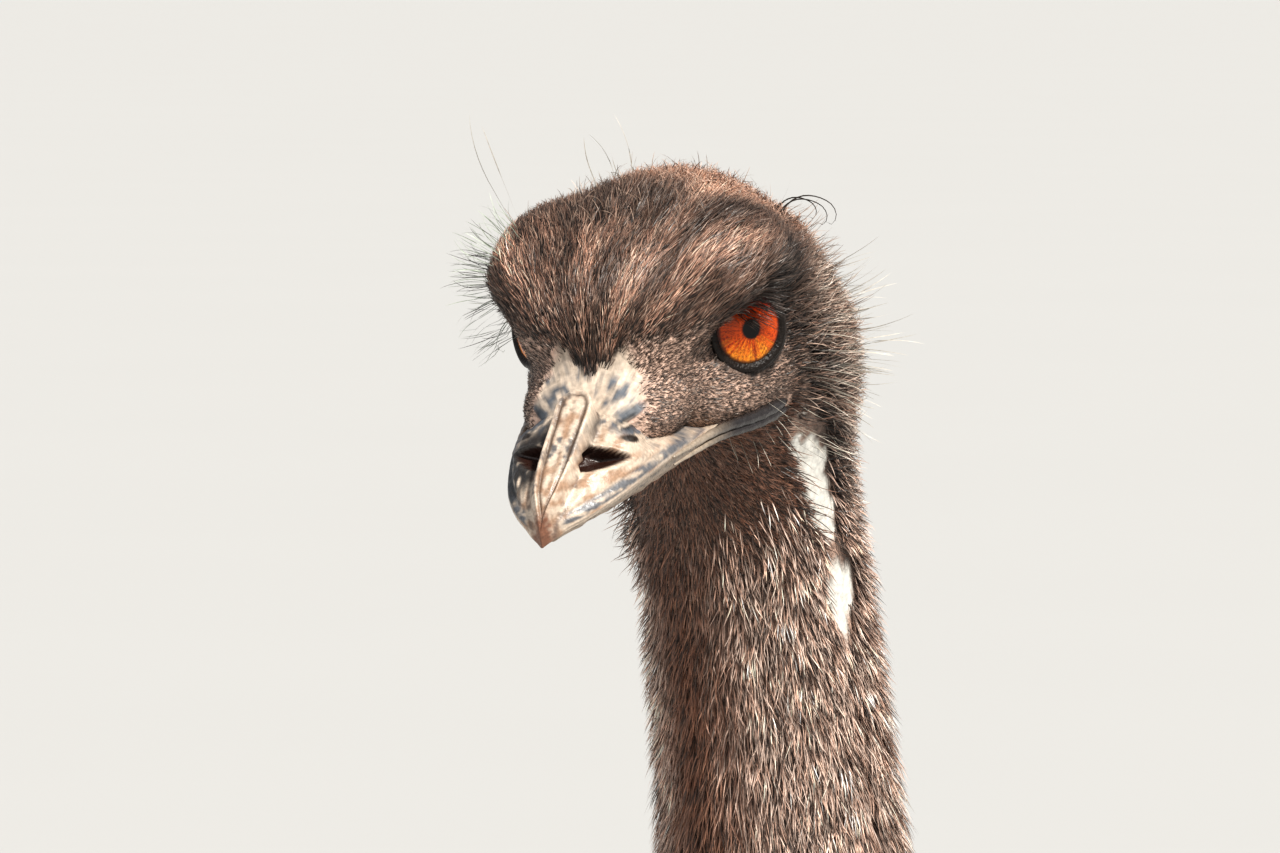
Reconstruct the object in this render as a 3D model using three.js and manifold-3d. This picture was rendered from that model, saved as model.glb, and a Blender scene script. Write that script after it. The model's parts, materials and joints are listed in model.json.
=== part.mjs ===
// An adult emu standing still, at life size, in millimetres. It faces -Y, its left side is +X and +Z is up.
// Its neck is raised, its head is turned a little to its left and nods, and one foot is a step ahead.
import * as THREE from 'three';
import Module from 'manifold-3d';
import { ParametricGeometry } from 'three/addons/geometries/ParametricGeometry.js';
import { mergeVertices } from 'three/addons/utils/BufferGeometryUtils.js';

const wasm = await Module();
wasm.setup();

// Driving dimensions.
const GAP = 0.35; // clear space between neighbouring pieces
const SNAP = 0.01; // corners are rounded to this, so that none are too near each other
const SIMPLER = 0.1; // how far a surface may move to drop small triangles
const EYE_HEIGHT = 1610;
const EYE_AHEAD = 430; // how far the point between the eyes stands in front of the body's middle
const HEAD_NOD = 20; // degrees
const HEAD_TURN = 8; // degrees, to the bird's left
const NECK_JOINT_BEHIND_EYES = 55;
const BACK_HEIGHT = 1066; // without the plumes
const TORSO_HALF_WIDTH = 160;
const TORSO_HALF_LENGTH = 300;
const TORSO_HALF_DEPTH = 158;
const HOCK_HEIGHT = 420;
const HOCK_BEHIND = 92;
const HOCK_APART = 78; // half the distance between the hocks
const FOOT_BEHIND = 28;
const FOOT_APART = 84;
const STEP_AHEAD = 48; // how far each foot stands before or behind the other's mean
const EYEBALL_RADIUS = 13.5;
const EYE_OUT = 22.8; // the eyeball's centre from the head's middle
const EYE_BEHIND = 1.5;
const EYE_ASIDE = 56; // degrees between straight ahead and where the eye looks

const radians = (degrees) => (degrees * Math.PI) / 180;
const mix = (a, b, t) => a + (b - a) * t;
const clamp = (x, low, high) => Math.min(high, Math.max(low, x));
const smooth = (low, high, x) => {
  const t = clamp((x - low) / (high - low), 0, 1);
  return t * t * (3 - 2 * t);
};
const vector = (x, y, z) => new THREE.Vector3(x, y, z);
const UP = vector(0, 0, 1);
const LEFT = vector(1, 0, 0);

// A repeatable source of numbers from 0 to 1.
function seeded(seed) {
  let state = seed;
  return () => {
    state = (state + 0x6d2b79f5) | 0;
    let t = Math.imul(state ^ (state >>> 15), 1 | state);
    t = (t + Math.imul(t ^ (t >>> 7), 61 | t)) ^ t;
    return ((t ^ (t >>> 14)) >>> 0) / 4294967296;
  };
}

// Reads a smooth curve through [place, value] pairs.
function profile(pairs) {
  const curve = new THREE.SplineCurve(pairs.map(([x, y]) => new THREE.Vector2(x, y)));
  const samples = curve.getPoints(pairs.length * 12);
  return (x) => {
    const next = samples.findIndex((s) => s.x >= x);
    if (next === 0) return samples[0].y;
    if (next < 0) return samples[samples.length - 1].y;
    const [a, b] = [samples[next - 1], samples[next]];
    return mix(a.y, b.y, (x - a.x) / Math.max(b.x - a.x, 1e-6));
  };
}

// Forms. Each gives the distance from a point to a surface, near that surface, less than 0 inside.

function ellipsoid(centre, radii, tilt = 0) {
  const turn = new THREE.Matrix4().makeRotationX(-tilt);
  return (p) => {
    const q = p.clone().sub(centre).applyMatrix4(turn);
    const near = Math.hypot(q.x / radii.x, q.y / radii.y, q.z / radii.z);
    const slope = Math.hypot(q.x / radii.x ** 2, q.y / radii.y ** 2, q.z / radii.z ** 2);
    return slope > 1e-9 ? (near * (near - 1)) / slope : -Math.min(radii.x, radii.y, radii.z);
  };
}

// A round limb along a curve, whose radius is a function of the share of its length.
function limb(curve, radius, segments) {
  const joints = curve.getSpacedPoints(segments);
  return (p) => {
    let best = Infinity;
    for (let i = 0; i < segments; i++) {
      const along = joints[i + 1].clone().sub(joints[i]);
      const t = clamp(p.clone().sub(joints[i]).dot(along) / along.lengthSq(), 0, 1);
      const reach = joints[i].clone().addScaledVector(along, t).distanceTo(p);
      best = Math.min(best, reach - radius((i + t) / segments));
    }
    return best;
  };
}

// Forms that flow into each other over about the blend's length.
function blended(blend, forms) {
  return (p) => -blend * Math.log(forms.reduce((sum, form) => sum + Math.exp(-form(p) / blend), 0));
}

function nearest(forms) {
  return (p) => Math.min(...forms.map((form) => form(p)));
}

function normalOf(form, p) {
  const step = 0.5;
  const slope = ['x', 'y', 'z'].map((axis) => {
    const ahead = p.clone();
    const behind = p.clone();
    ahead[axis] += step;
    behind[axis] -= step;
    return form(ahead) - form(behind);
  });
  return vector(...slope).normalize();
}

// The point where a ray from inside a form leaves it.
function leaves(form, origin, direction, reach) {
  let [inside, outside] = [0, reach];
  for (let i = 0; i < 22; i++) {
    const middle = (inside + outside) / 2;
    if (form(origin.clone().addScaledVector(direction, middle)) < 0) inside = middle;
    else outside = middle;
  }
  return inside;
}

// Solids.

// A closed three.js geometry as a solid: its seams and poles are merged and what collapsed is dropped.
function solid(geometry) {
  const bare = geometry.clone();
  for (const name of ['normal', 'uv']) bare.deleteAttribute(name);
  const merged = mergeVertices(bare, 1e-3);
  const kept = [];
  for (let i = 0; i < merged.index.count; i += 3) {
    const [a, b, c] = [0, 1, 2].map((k) => merged.index.getX(i + k));
    if (a !== b && b !== c && c !== a) kept.push(a, b, c);
  }
  const made = (triVerts) =>
    new wasm.Manifold(
      new wasm.Mesh({ numProp: 3, vertProperties: merged.attributes.position.array, triVerts }),
    );
  const first = made(new Uint32Array(kept));
  if (first.volume() > 0) return first;
  for (let i = 0; i < kept.length; i += 3) [kept[i + 1], kept[i + 2]] = [kept[i + 2], kept[i + 1]];
  return made(new Uint32Array(kept));
}

// A tube closed at both ends: ring(share along, angle) gives a point, and middle(share) an end's centre.
function tube(rows, around, ring, middle) {
  const place = (u, v, target) => {
    const row = Math.round(v * (rows + 1));
    if (row === 0) return target.copy(middle(0));
    if (row === rows + 1) return target.copy(middle(1));
    return target.copy(ring((row - 1) / (rows - 1), u * 2 * Math.PI, row - 1));
  };
  return solid(new ParametricGeometry(place, around, rows + 1));
}

function joined(solids) {
  return solids.reduce((whole, piece) => whole.add(piece));
}

function largest(whole) {
  const bodies = whole.decompose().filter((body) => body.volume() > 0);
  return bodies.reduce((best, body) => (body.volume() > best.volume() ? body : best));
}

// The head's own frame: its origin lies between the eyes, it faces -Y and nods and turns on the neck.
const turn = radians(HEAD_TURN);
const headCentre = vector(
  NECK_JOINT_BEHIND_EYES * Math.sin(turn),
  -EYE_AHEAD + NECK_JOINT_BEHIND_EYES * (1 - Math.cos(turn)),
  EYE_HEIGHT,
);
const headPlace = new THREE.Matrix4()
  .makeTranslation(headCentre)
  .multiply(new THREE.Matrix4().makeRotationZ(turn))
  .multiply(new THREE.Matrix4().makeRotationX(radians(HEAD_NOD)));
const headInverse = headPlace.clone().invert();
const onHead = (x, y, z) => vector(x, y, z).applyMatrix4(headPlace);

// The body's forms.

const TORSO_Z = BACK_HEIGHT - TORSO_HALF_DEPTH;
const neckLine = new THREE.CatmullRomCurve3([
  vector(0, -150, 925),
  vector(0, -235, 975),
  vector(0, -300, 1050),
  vector(0, -334, 1150),
  vector(0, -340, 1260),
  vector(0, -326, 1370),
  vector(0, -333, 1465),
  vector(3, -356, 1545),
  vector(6, -388, 1598),
]);
const neckRadius = profile([
  [0, 114],
  [0.13, 92],
  [0.26, 66],
  [0.4, 49],
  [0.54, 40],
  [0.68, 36],
  [0.82, 32],
  [0.93, 31],
  [1, 30],
]);
const torsoForm = blended(16, [
  ellipsoid(vector(0, 10, TORSO_Z), vector(TORSO_HALF_WIDTH, TORSO_HALF_LENGTH, TORSO_HALF_DEPTH), radians(-4)),
  ellipsoid(vector(0, 220, TORSO_Z - 2), vector(112, 150, 112), radians(18)),
  ellipsoid(vector(0, -205, TORSO_Z - 18), vector(112, 118, 128)),
]);
const neckForm = limb(neckLine, neckRadius, 22);
const bodyForm = blended(14, [torsoForm, neckForm]);

const legs = [
  { name: 'left', side: 1, ahead: STEP_AHEAD },
  { name: 'right', side: -1, ahead: -STEP_AHEAD },
].map((leg) => {
  const foot = vector(leg.side * FOOT_APART, FOOT_BEHIND - leg.ahead, 0);
  const hock = vector(leg.side * HOCK_APART, HOCK_BEHIND - leg.ahead * 0.75, HOCK_HEIGHT);
  const thighLine = new THREE.CatmullRomCurve3([
    vector(leg.side * 88, 5 - leg.ahead * 0.1, 850),
    vector(leg.side * 98, 0 - leg.ahead * 0.3, 740),
    vector(leg.side * 92, 42 - leg.ahead * 0.5, 610),
    vector(leg.side * (HOCK_APART + 2), HOCK_BEHIND - 18 - leg.ahead * 0.7, HOCK_HEIGHT + 78),
  ]);
  const thighForm = limb(thighLine, profile([[0, 82], [0.3, 80], [0.6, 58], [0.85, 35], [1, 25]]), 8);
  return { ...leg, foot, hock, thighLine, thighForm };
});

// The wings are small arms that lie against the flanks.
const wings = [1, -1].map((side) => {
  const roots = [
    [-170, 962],
    [-110, 930],
    [-30, 905],
    [45, 892],
  ].map(([y, z]) => {
    const centre = vector(0, y, z);
    const reach = leaves(bodyForm, centre, vector(side, 0, 0), 400);
    return centre.add(vector(side * (reach + 9), 0, 0));
  });
  const line = new THREE.CatmullRomCurve3(roots);
  return { side, line, form: limb(line, (t) => mix(21, 9, t), 6) };
});
const wingZone = nearest(wings.map((wing) => wing.form));
const TAIL_CENTRE = vector(0, 348, TORSO_Z - 26);
const tailForm = ellipsoid(TAIL_CENTRE, vector(62, 50, 50));
const fleshForm = blended(12, [bodyForm, tailForm, ...legs.map((leg) => leg.thighForm)]);

// Locks. A lock leaves its root, lies along the coat, sinks under its own weight, and is held off the
// body by its height there. Its section is a flat diamond.

function drape({ form, root, lie, length, steps, sink, lift, droop }) {
  const out = normalOf(form, root);
  const line = [root.clone().addScaledVector(out, -sink)];
  const outs = [out];
  const heading = lie.clone().addScaledVector(out, 0.25).normalize();
  let at = root.clone().addScaledVector(out, lift * 0.3);
  line.push(at.clone());
  outs.push(out);
  for (let i = 2; i <= steps; i++) {
    heading.addScaledVector(UP, -droop).normalize();
    at = at.clone().addScaledVector(heading, length / (steps - 1));
    const height = lift * mix(0.75, 1.15, (i - 1) / (steps - 1));
    const away = form(at);
    const push = normalOf(form, at);
    if (away < height) at.addScaledVector(push, height - away);
    if (away > height + 3 && away < 60) at.addScaledVector(push, -Math.min(0.35 * (away - height), 10));
    heading.copy(at).sub(line[line.length - 1]).normalize();
    line.push(at);
    outs.push(push);
  }
  return { line, outs };
}

const LOCK_WIDTHS = [0.55, 0.9, 1, 0.78, 0.45];

function lock({ line, outs, width, thick, grow = 0 }) {
  const rows = line.length - 1;
  const frames = line.slice(0, rows).map((p, i) => {
    const along = line[i + 1].clone().sub(line[Math.max(i - 1, 0)]).normalize();
    const across = along.clone().cross(outs[i]).normalize();
    return { p: p.clone(), along, across, out: across.clone().cross(along).normalize() };
  });
  frames[0].p.addScaledVector(frames[0].along, -grow);
  const tip = line[rows].clone().addScaledVector(frames[rows - 1].along, 4 * grow);
  const ring = (share, angle, row) => {
    const { p, across, out } = frames[row];
    const wide = width * LOCK_WIDTHS[Math.round(share * (LOCK_WIDTHS.length - 1))] * 0.5 + grow;
    const deep = thick * mix(0.9, 0.55, share) * 0.5 + grow;
    return p
      .clone()
      .addScaledVector(across, wide * Math.cos(angle))
      .addScaledVector(out, deep * Math.sin(angle));
  };
  return tube(rows, 4, ring, (end) => (end ? tip : frames[0].p.clone()));
}

// A row of roots round a limb or along the back: each is where a ray from the line inside leaves the form.
function rootAt(form, origin, direction, reach = 420) {
  return origin.clone().addScaledVector(direction, leaves(form, origin, direction, reach));
}

// Torso. Rings stand across a line from rump to neck, and rays from it reach the skin.
const TORSO_ROWS = 17;
const TORSO_AROUND = 18;
const TORSO_TAIL_END = vector(0, 356, TORSO_Z - 30);
const NECK_CUT = 0.16; // where the neck's first ring leaves the torso, as a share of the neck's line
const torsoLine = new THREE.CatmullRomCurve3([
  TORSO_TAIL_END,
  vector(0, 200, TORSO_Z - 4),
  vector(0, 40, TORSO_Z + 4),
  vector(0, -110, TORSO_Z + 6),
  neckLine.getPointAt(NECK_CUT * 0.35),
  neckLine.getPointAt(NECK_CUT),
]);

function crossRing(curve, share, form, reach, gap = 0, shift = 0) {
  const at = curve.getPointAt(clamp(share, 0, 1));
  const along = curve.getTangentAt(clamp(share, 0, 1));
  const side = LEFT.clone().addScaledVector(along, -LEFT.dot(along)).normalize();
  const back = along.clone().cross(side).normalize();
  return {
    at: at.clone().addScaledVector(along, shift),
    point(angle) {
      const ray = side.clone().multiplyScalar(Math.sin(angle)).addScaledVector(back, Math.cos(angle));
      const skin = at.clone().addScaledVector(ray, leaves(form, at, ray, reach) + gap);
      return skin.addScaledVector(along, shift);
    },
  };
}

function rayTube(curve, rows, around, form, reach, { from = 0, to = 1, gap = 0, ends = [0, 0] } = {}) {
  const ringAt = (share) => {
    const place = mix(from, to, share);
    const shift = share === 0 ? ends[0] - gap : share === 1 ? ends[1] + gap : 0;
    return crossRing(curve, place, form, reach, gap, shift);
  };
  const rings = Array.from({ length: rows }, (_, i) => ringAt(i / (rows - 1)));
  return tube(
    rows,
    around,
    (share, angle, row) => rings[row].point(angle),
    (end) => rings[end ? rows - 1 : 0].at,
  );
}

// Where coat roots sit on the torso: tiers by angle from the parting, stations by share of the line.
const COAT_TIERS = [
  { angle: 10, length: 215, lift: 15, droop: 0.1, lie: vector(0.62, 0.62, -0.1) },
  { angle: 40, length: 205, lift: 14, droop: 0.2, lie: vector(0.4, 0.6, -0.6) },
  { angle: 72, length: 195, lift: 13, droop: 0.35, lie: vector(0, 0.45, -0.9) },
  { angle: 104, length: 175, lift: 12, droop: 0.5, lie: vector(-0.2, 0.36, -0.9) },
];
const COAT_STATIONS = 6;
const COAT_LOCK = { width: 104, thick: 9 };

function torsoCoat(grow) {
  const random = seeded(38);
  const locks = [];
  for (const side of [1, -1])
    COAT_TIERS.forEach((tier, row) => {
      for (let i = 0; i < COAT_STATIONS; i++) {
        const share = mix(0.07, 0.86, (i + (row % 2) * 0.5 + 0.25) / COAT_STATIONS) + (random() - 0.5) * 0.02;
        const length = tier.length * mix(0.88, 1.14, random());
        const angle = radians(tier.angle + (random() - 0.5) * 7) * side;
        const ring = crossRing(torsoLine, share, bodyForm, 420);
        const root = ring.point(angle);
        if (wingZone(root) < 14) continue;
        const lie = tier.lie.clone();
        lie.x *= side;
        lie.normalize();
        const path = drape({
          form: fleshForm,
          root,
          lie,
          length: length * (share > 0.72 ? 0.72 : 1),
          steps: 4,
          sink: 14,
          lift: tier.lift * mix(0.9, 1.15, random()),
          droop: tier.droop,
        });
        locks.push(lock({ ...path, ...COAT_LOCK, grow }));
      }
    });
  return locks;
}

function torsoCore(grow) {
  return rayTube(torsoLine, TORSO_ROWS, TORSO_AROUND, bodyForm, 420, { gap: grow, ends: [0, -GAP / 2] });
}

function makeTorso(grow = 0) {
  return joined([torsoCore(grow), ...torsoCoat(grow)]);
}

// Neck, in three lengths that meet on planes across it.
const NECK_LENGTHS = [
  { name: 'neck_lower', from: NECK_CUT, to: 0.44, rows: 6, around: 12, rings: 3, each: 6, lock: [110, 60, 8, 8] },
  { name: 'neck_middle', from: 0.44, to: 0.72, rows: 4, around: 10, rings: 3, each: 5, lock: [74, 38, 6, 5.5] },
  { name: 'neck_upper', from: 0.72, to: 1, rows: 6, around: 12, rings: 3, each: 5, lock: [50, 28, 4.2, 4] },
];

function neckCoat(part, grow) {
  const random = seeded(Math.round(part.from * 1000) + 6);
  const [length, width, thick, lift] = part.lock;
  const locks = [];
  for (let row = 0; row < part.rings; row++)
    for (let i = 0; i < part.each; i++) {
      const share = mix(part.from, part.to, (row + 0.62) / part.rings);
      const angle = ((i + (row % 2) * 0.5 + (random() - 0.5) * 0.3) / part.each) * 2 * Math.PI;
      const ring = crossRing(neckLine, share, bodyForm, 300);
      const root = ring.point(angle);
      const down = neckLine.getTangentAt(share).multiplyScalar(-1);
      const path = drape({
        form: fleshForm,
        root,
        lie: down,
        length: length * mix(0.85, 1.15, random()),
        steps: 3,
        sink: Math.min(10, lift * 1.6),
        lift: lift * mix(0.85, 1.2, random()),
        droop: 0.05,
      });
      locks.push(lock({ ...path, width, thick, grow }));
    }
  return locks;
}

function makeNeck(part, grow = 0) {
  const core = rayTube(neckLine, part.rows, part.around, bodyForm, 300, {
    from: part.from,
    to: part.to,
    gap: grow,
    ends: [GAP / 2, -GAP / 2],
  });
  return joined([core, ...neckCoat(part, grow)]);
}

// Head, in its own frame.
const headForm = blended(3.5, [
  ellipsoid(vector(0, 21, 4), vector(37, 44, 32)),
  ellipsoid(vector(0, -9, 10), vector(31, 28, 20)),
  ellipsoid(vector(17, 17, -15), vector(18.5, 38, 15)),
  ellipsoid(vector(-17, 17, -15), vector(18.5, 38, 15)),
  ellipsoid(vector(0, -30, -8), vector(23, 24, 14)),
  ellipsoid(vector(25, 4, 19), vector(14, 24, 13)),
  ellipsoid(vector(-25, 4, 19), vector(14, 24, 13)),
  ellipsoid(vector(19, 43, -21), vector(21, 21, 26)),
  ellipsoid(vector(-19, 43, -21), vector(21, 21, 26)),
]);
const headLine = new THREE.LineCurve3(vector(0, -50, -9), vector(0, 61, -15));
const eyeLook = (side) => vector(side * Math.sin(radians(EYE_ASIDE)), -Math.cos(radians(EYE_ASIDE)), 0);
const LID_RADIUS = 9.4; // of the opening between the lids
const LID_AHEAD = Math.sqrt((EYEBALL_RADIUS + GAP) ** 2 - LID_RADIUS ** 2); // before the eyeball's centre
const eyeCentre = (side) => vector(side * EYE_OUT, EYE_BEHIND, 0.5);

// A ring of skin round an opening, such as a lid or the rim of an ear.
function rim(centre, axis, radius, thick, segments = 15, sides = 4) {
  const ringGeometry = new THREE.TorusGeometry(radius, thick, sides, segments);
  ringGeometry.applyQuaternion(new THREE.Quaternion().setFromUnitVectors(UP, axis));
  ringGeometry.translate(centre.x, centre.y, centre.z);
  return solid(ringGeometry);
}

function ball(centre, radii, across = 18, down = 12) {
  const geometry = new THREE.SphereGeometry(1, across, down);
  geometry.scale(radii.x, radii.y, radii.z);
  geometry.translate(centre.x, centre.y, centre.z);
  return solid(geometry);
}

function eyeball(side, grow = 0) {
  const radius = EYEBALL_RADIUS + grow;
  return ball(eyeCentre(side), vector(radius, radius, radius), 14, 9);
}

// Bill. The upper part is broad and flat with a raised middle ridge; the edge of the mouth runs back
// along the cheek as a lip that ends under the eye.
const MOUTH = [
  [0, -88.5, -21],
  [11, -84, -20.5],
  [17.5, -68, -18.5],
  [22.5, -45, -17.5],
  [27, -22, -19.5],
  [31.5, -3, -23],
  [34.5, 13, -25],
];
const billHalfWidth = profile([[-89, 0], [-87.5, 4.5], [-84, 9.2], [-77, 13.2], [-66, 17], [-45, 22], [-30, 24.5], [-20, 25]]);
const billTop = profile([[-89, -19], [-86, -14.5], [-80, -10], [-70, -5], [-60, -0.5], [-48, 5], [-38, 9], [-26, 11], [-20, 11]]);
const mouthLevel = profile([[-89, -22], [-84, -21], [-68, -18.5], [-45, -17.5], [-20, -19]]);
const RIDGE_HALF = 0.26; // of the bill's half width
const RIDGE_RISE = 0.34; // of the bill's height

function billSection(y, angle, grow) {
  const half = billHalfWidth(y) + grow;
  const floor = mouthLevel(y) + GAP / 2;
  const height = Math.max(billTop(y) - floor, 0.5);
  const x = half * Math.sin(angle);
  const share = Math.abs(x) / half;
  if (Math.cos(angle) < 0) return vector(x, y, floor - grow);
  const ridge = 1 - smooth(RIDGE_HALF * 0.6, RIDGE_HALF * 1.5, share);
  const dome = Math.sqrt(Math.max(1 - share ** 2.4, 0));
  return vector(x, y, floor + height * ((1 - RIDGE_RISE) * dome + RIDGE_RISE * ridge) + grow);
}

const BILL_ANGLES = [0, 13, 26, 42, 60, 78, 90, 112, 140, 180].map(radians);
const BILL_AROUND = 18;

function billAngle(angle) {
  const index = Math.round((angle / (2 * Math.PI)) * BILL_AROUND);
  const mirrored = index > BILL_AROUND / 2 ? BILL_AROUND - index : index;
  return index > BILL_AROUND / 2 ? -BILL_ANGLES[mirrored] : BILL_ANGLES[mirrored];
}

const LIP_SIZE = profile([[0, 0.25], [0.25, 0.7], [0.6, 1], [0.85, 0.95], [1, 0.4]]);

function lip(rise, thick, grow) {
  return joined(
    [1, -1].map((side) => {
      const curve = new THREE.CatmullRomCurve3(
        MOUTH.slice(2).map(([x, y, z]) => vector(side * (x - 1.4), y, z + rise)),
      );
      const at = (share) => curve.getPointAt(share);
      return tube(
        7,
        5,
        (share, angle) => {
          const size = thick * LIP_SIZE(share) + grow;
          return at(share).add(vector(side * 1.1 * size * Math.cos(angle), 0, size * 0.62 * Math.sin(angle)));
        },
        (end) => at(end),
      );
    }),
  );
}

function makeBillUpper(grow = 0) {
  const stations = [-88.6, -87, -84, -79, -73, -67, -61, -55, -49, -43, -36, -28, -22];
  const body = tube(
    stations.length,
    BILL_AROUND,
    (share, angle, row) => billSection(stations[row] + (row === 0 ? -grow : 0), billAngle(angle), grow),
    (end) => vector(0, stations[end ? stations.length - 1 : 0], -16),
  );
  const whole = body.add(lip(2.6, 3, grow));
  if (grow) return whole;
  const nostrils = [1, -1].map((side) => {
    const hole = new THREE.SphereGeometry(1, 10, 6);
    hole.scale(4.2, 6.5, 3.4);
    hole.rotateY(side * radians(42));
    hole.rotateZ(side * radians(-12));
    hole.translate(side * 10.6, -60, -6.5);
    return solid(hole);
  });
  const shallows = [1, -1].map((side) => {
    const hollow = new THREE.SphereGeometry(1, 10, 6);
    hollow.scale(5, 15, 3.2);
    hollow.rotateY(side * radians(35));
    hollow.translate(side * 12, -57, -0.5);
    return solid(hollow);
  });
  return [...nostrils, ...shallows].reduce((bill, hole) => bill.subtract(hole), whole);
}

function makeBillLower(grow = 0) {
  const stations = [-86.5, -85, -81, -74, -66, -56, -46, -36, -26, -20];
  const body = tube(
    stations.length,
    12,
    (share, angle, row) => {
      const y = stations[row] - (row === 0 ? grow : 0);
      const half = Math.max(billHalfWidth(y - 1) - 1.2, 2) + grow;
      const top = mouthLevel(y) - GAP / 2 + grow;
      const deep = mix(3.5, 9.5, smooth(-88, -40, y)) + 2 * grow;
      const z = Math.cos(angle) > -0.01 ? top : top + deep * Math.cos(angle);
      return vector(half * Math.sin(angle), y, z);
    },
    (end) => vector(0, stations[end ? stations.length - 1 : 0], -20.5),
  );
  return body.add(lip(-2.4, 2.5, grow));
}

// Short locks that stand out behind the crown, over the brow and behind the cheek.
function headTufts(grow) {
  const random = seeded(5);
  const sites = [];
  for (const side of [1, -1]) {
    sites.push({ from: vector(0, 40, 0), angle: side * 20, length: 17 });
    for (let i = 0; i < 4; i++) sites.push({ from: vector(0, 40 + (i % 2) * 8, -12), angle: side * (55 + i * 22), length: 22 });
    sites.push({ from: vector(0, 4, 12), angle: side * 80, length: 15 });
  }
  return sites.map(({ from, angle, length }) => {
    const ray = vector(Math.sin(radians(angle)), 0, Math.cos(radians(angle)));
    const root = rootAt(headForm, from, ray, 90);
    const out = normalOf(headForm, root);
    const lie = vector(0.2 * Math.sign(angle), 1, -0.3).addScaledVector(out, 0.5).normalize();
    const path = drape({
      form: headForm,
      root,
      lie,
      length: length * mix(0.85, 1.15, random()),
      steps: 3,
      sink: 5,
      lift: 3.2,
      droop: 0.02,
    });
    return lock({ ...path, width: 15, thick: 3, grow });
  });
}

function headLocal(grow = 0) {
  const core = rayTube(headLine, 20, 24, headForm, 90, { gap: grow });
  const sockets = [1, -1].map((side) => {
    const radius = LID_RADIUS + 1.4 - grow;
    return ball(eyeCentre(side).addScaledVector(eyeLook(side), 15), vector(radius, radius, radius), 14, 8);
  });
  const lids = [1, -1].map((side) =>
    rim(eyeCentre(side).addScaledVector(eyeLook(side), LID_AHEAD), eyeLook(side), LID_RADIUS + 0.8, 1.9 + grow),
  );
  const ears = [1, -1].map((side) => rim(earPlace(side), earAxis(side), 4.6, 1.3 + grow, 10, 4));
  const open = core.subtract(sockets[0]).subtract(sockets[1]);
  return joined([open, ...lids, ...ears, ...headTufts(grow)]);
}

const earAxis = (side) => vector(side * 0.93, 0.3, -0.2).normalize();
const earPlace = (side) => rootAt(headForm, vector(0, 31, -10), vector(side, 0, -0.06).normalize(), 90);

function makeHead() {
  const cups = [1, -1].map((side) => ball(earPlace(side).addScaledVector(earAxis(side), 0.6), vector(4, 4.2, 4.2), 10, 8));
  const cutters = [eyeball(1, GAP), eyeball(-1, GAP), ...cups];
  return cutters.reduce((head, cutter) => head.subtract(cutter), headLocal());
}

// Legs.

// A limb's skin: section(share, angle) is its distance from the line.
function skinTube(curve, rows, around, section, grow = 0, ends = [0, 0]) {
  const frames = Array.from({ length: rows }, (_, i) => {
    const share = i / (rows - 1);
    const at = curve.getPointAt(share);
    const along = curve.getTangentAt(share);
    if (i === 0) at.addScaledVector(along, ends[0]);
    if (i === rows - 1) at.addScaledVector(along, ends[1]);
    const side = LEFT.clone().addScaledVector(along, -LEFT.dot(along)).normalize();
    return { at, side, back: side.clone().cross(along).normalize() };
  });
  return tube(
    rows,
    around,
    (share, angle, row) => {
      const { at, side, back } = frames[row];
      const reach = section(share, angle, row) + grow;
      return at
        .clone()
        .addScaledVector(side, reach * Math.sin(angle))
        .addScaledVector(back, reach * Math.cos(angle));
    },
    (end) => frames[end ? rows - 1 : 0].at,
  );
}

function makeThigh(leg, grow = 0) {
  const random = seeded(leg.side + 30);
  const core = rayTube(leg.thighLine, 7, 10, leg.thighForm, 200, { gap: grow });
  const locks = [];
  for (let row = 0; row < 3; row++)
    for (let i = 0; i < 6; i++) {
      const share = mix(0.42, 0.9, row / 2);
      const angle = ((i + (row % 2) * 0.5) / 6) * 2 * Math.PI + (random() - 0.5) * 0.2;
      const root = crossRing(leg.thighLine, share, leg.thighForm, 200).point(angle);
      const path = drape({
        form: leg.thighForm,
        root,
        lie: leg.thighLine.getTangentAt(share),
        length: mix(105, 62, row / 2) * mix(0.9, 1.1, random()),
        steps: 3,
        sink: 9,
        lift: mix(7, 4.5, row / 2),
        droop: 0.04,
      });
      locks.push(lock({ ...path, width: mix(52, 30, row / 2), thick: 6.5, grow }));
    }
  return joined([core, ...locks]);
}

// The shank: a knobbed hock, then a long shaft with broad plates down its front.
const SHANK_PLATES = 9;
const HOCK_ROWS = 6;

function shankLine(leg) {
  const { hock, foot } = leg;
  return new THREE.CatmullRomCurve3([
    leg.thighLine.getPointAt(1),
    hock.clone().add(vector(0, -4, 12)),
    hock.clone().lerp(foot.clone().setZ(34), 0.3),
    hock.clone().lerp(foot.clone().setZ(34), 0.66),
    foot.clone().setZ(34),
  ]);
}

const shankRadius = profile([[0, 21], [0.1, 23.5], [0.19, 27], [0.27, 23], [0.4, 17], [0.7, 15.5], [0.9, 17.5], [1, 20]]);

function makeShank(leg, grow = 0) {
  const curve = shankLine(leg);
  const rows = HOCK_ROWS + SHANK_PLATES * 2;
  return skinTube(
    curve,
    rows,
    8,
    (share, angle, row) => {
      const front = smooth(0.2, 0.95, -Math.cos(angle));
      const plate = row >= HOCK_ROWS && row < rows - 1 ? front * (row % 2 ? 1.6 : -0.2) : 0;
      return shankRadius(share) * (1 + 0.14 * Math.abs(Math.cos(angle))) + plate;
    },
    grow,
    [GAP, 0],
  );
}

// The foot: a pad under the shank, three toes that lie on the floor, and their claws.
const TOES = [
  { name: 'inner', length: 82, splay: -27, width: 12.5, claw: 27, plates: 3 },
  { name: 'middle', length: 118, splay: 0, width: 15.5, claw: 31, plates: 5 },
  { name: 'outer', length: 86, splay: 31, width: 12.5, claw: 26, plates: 3 },
];

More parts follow.
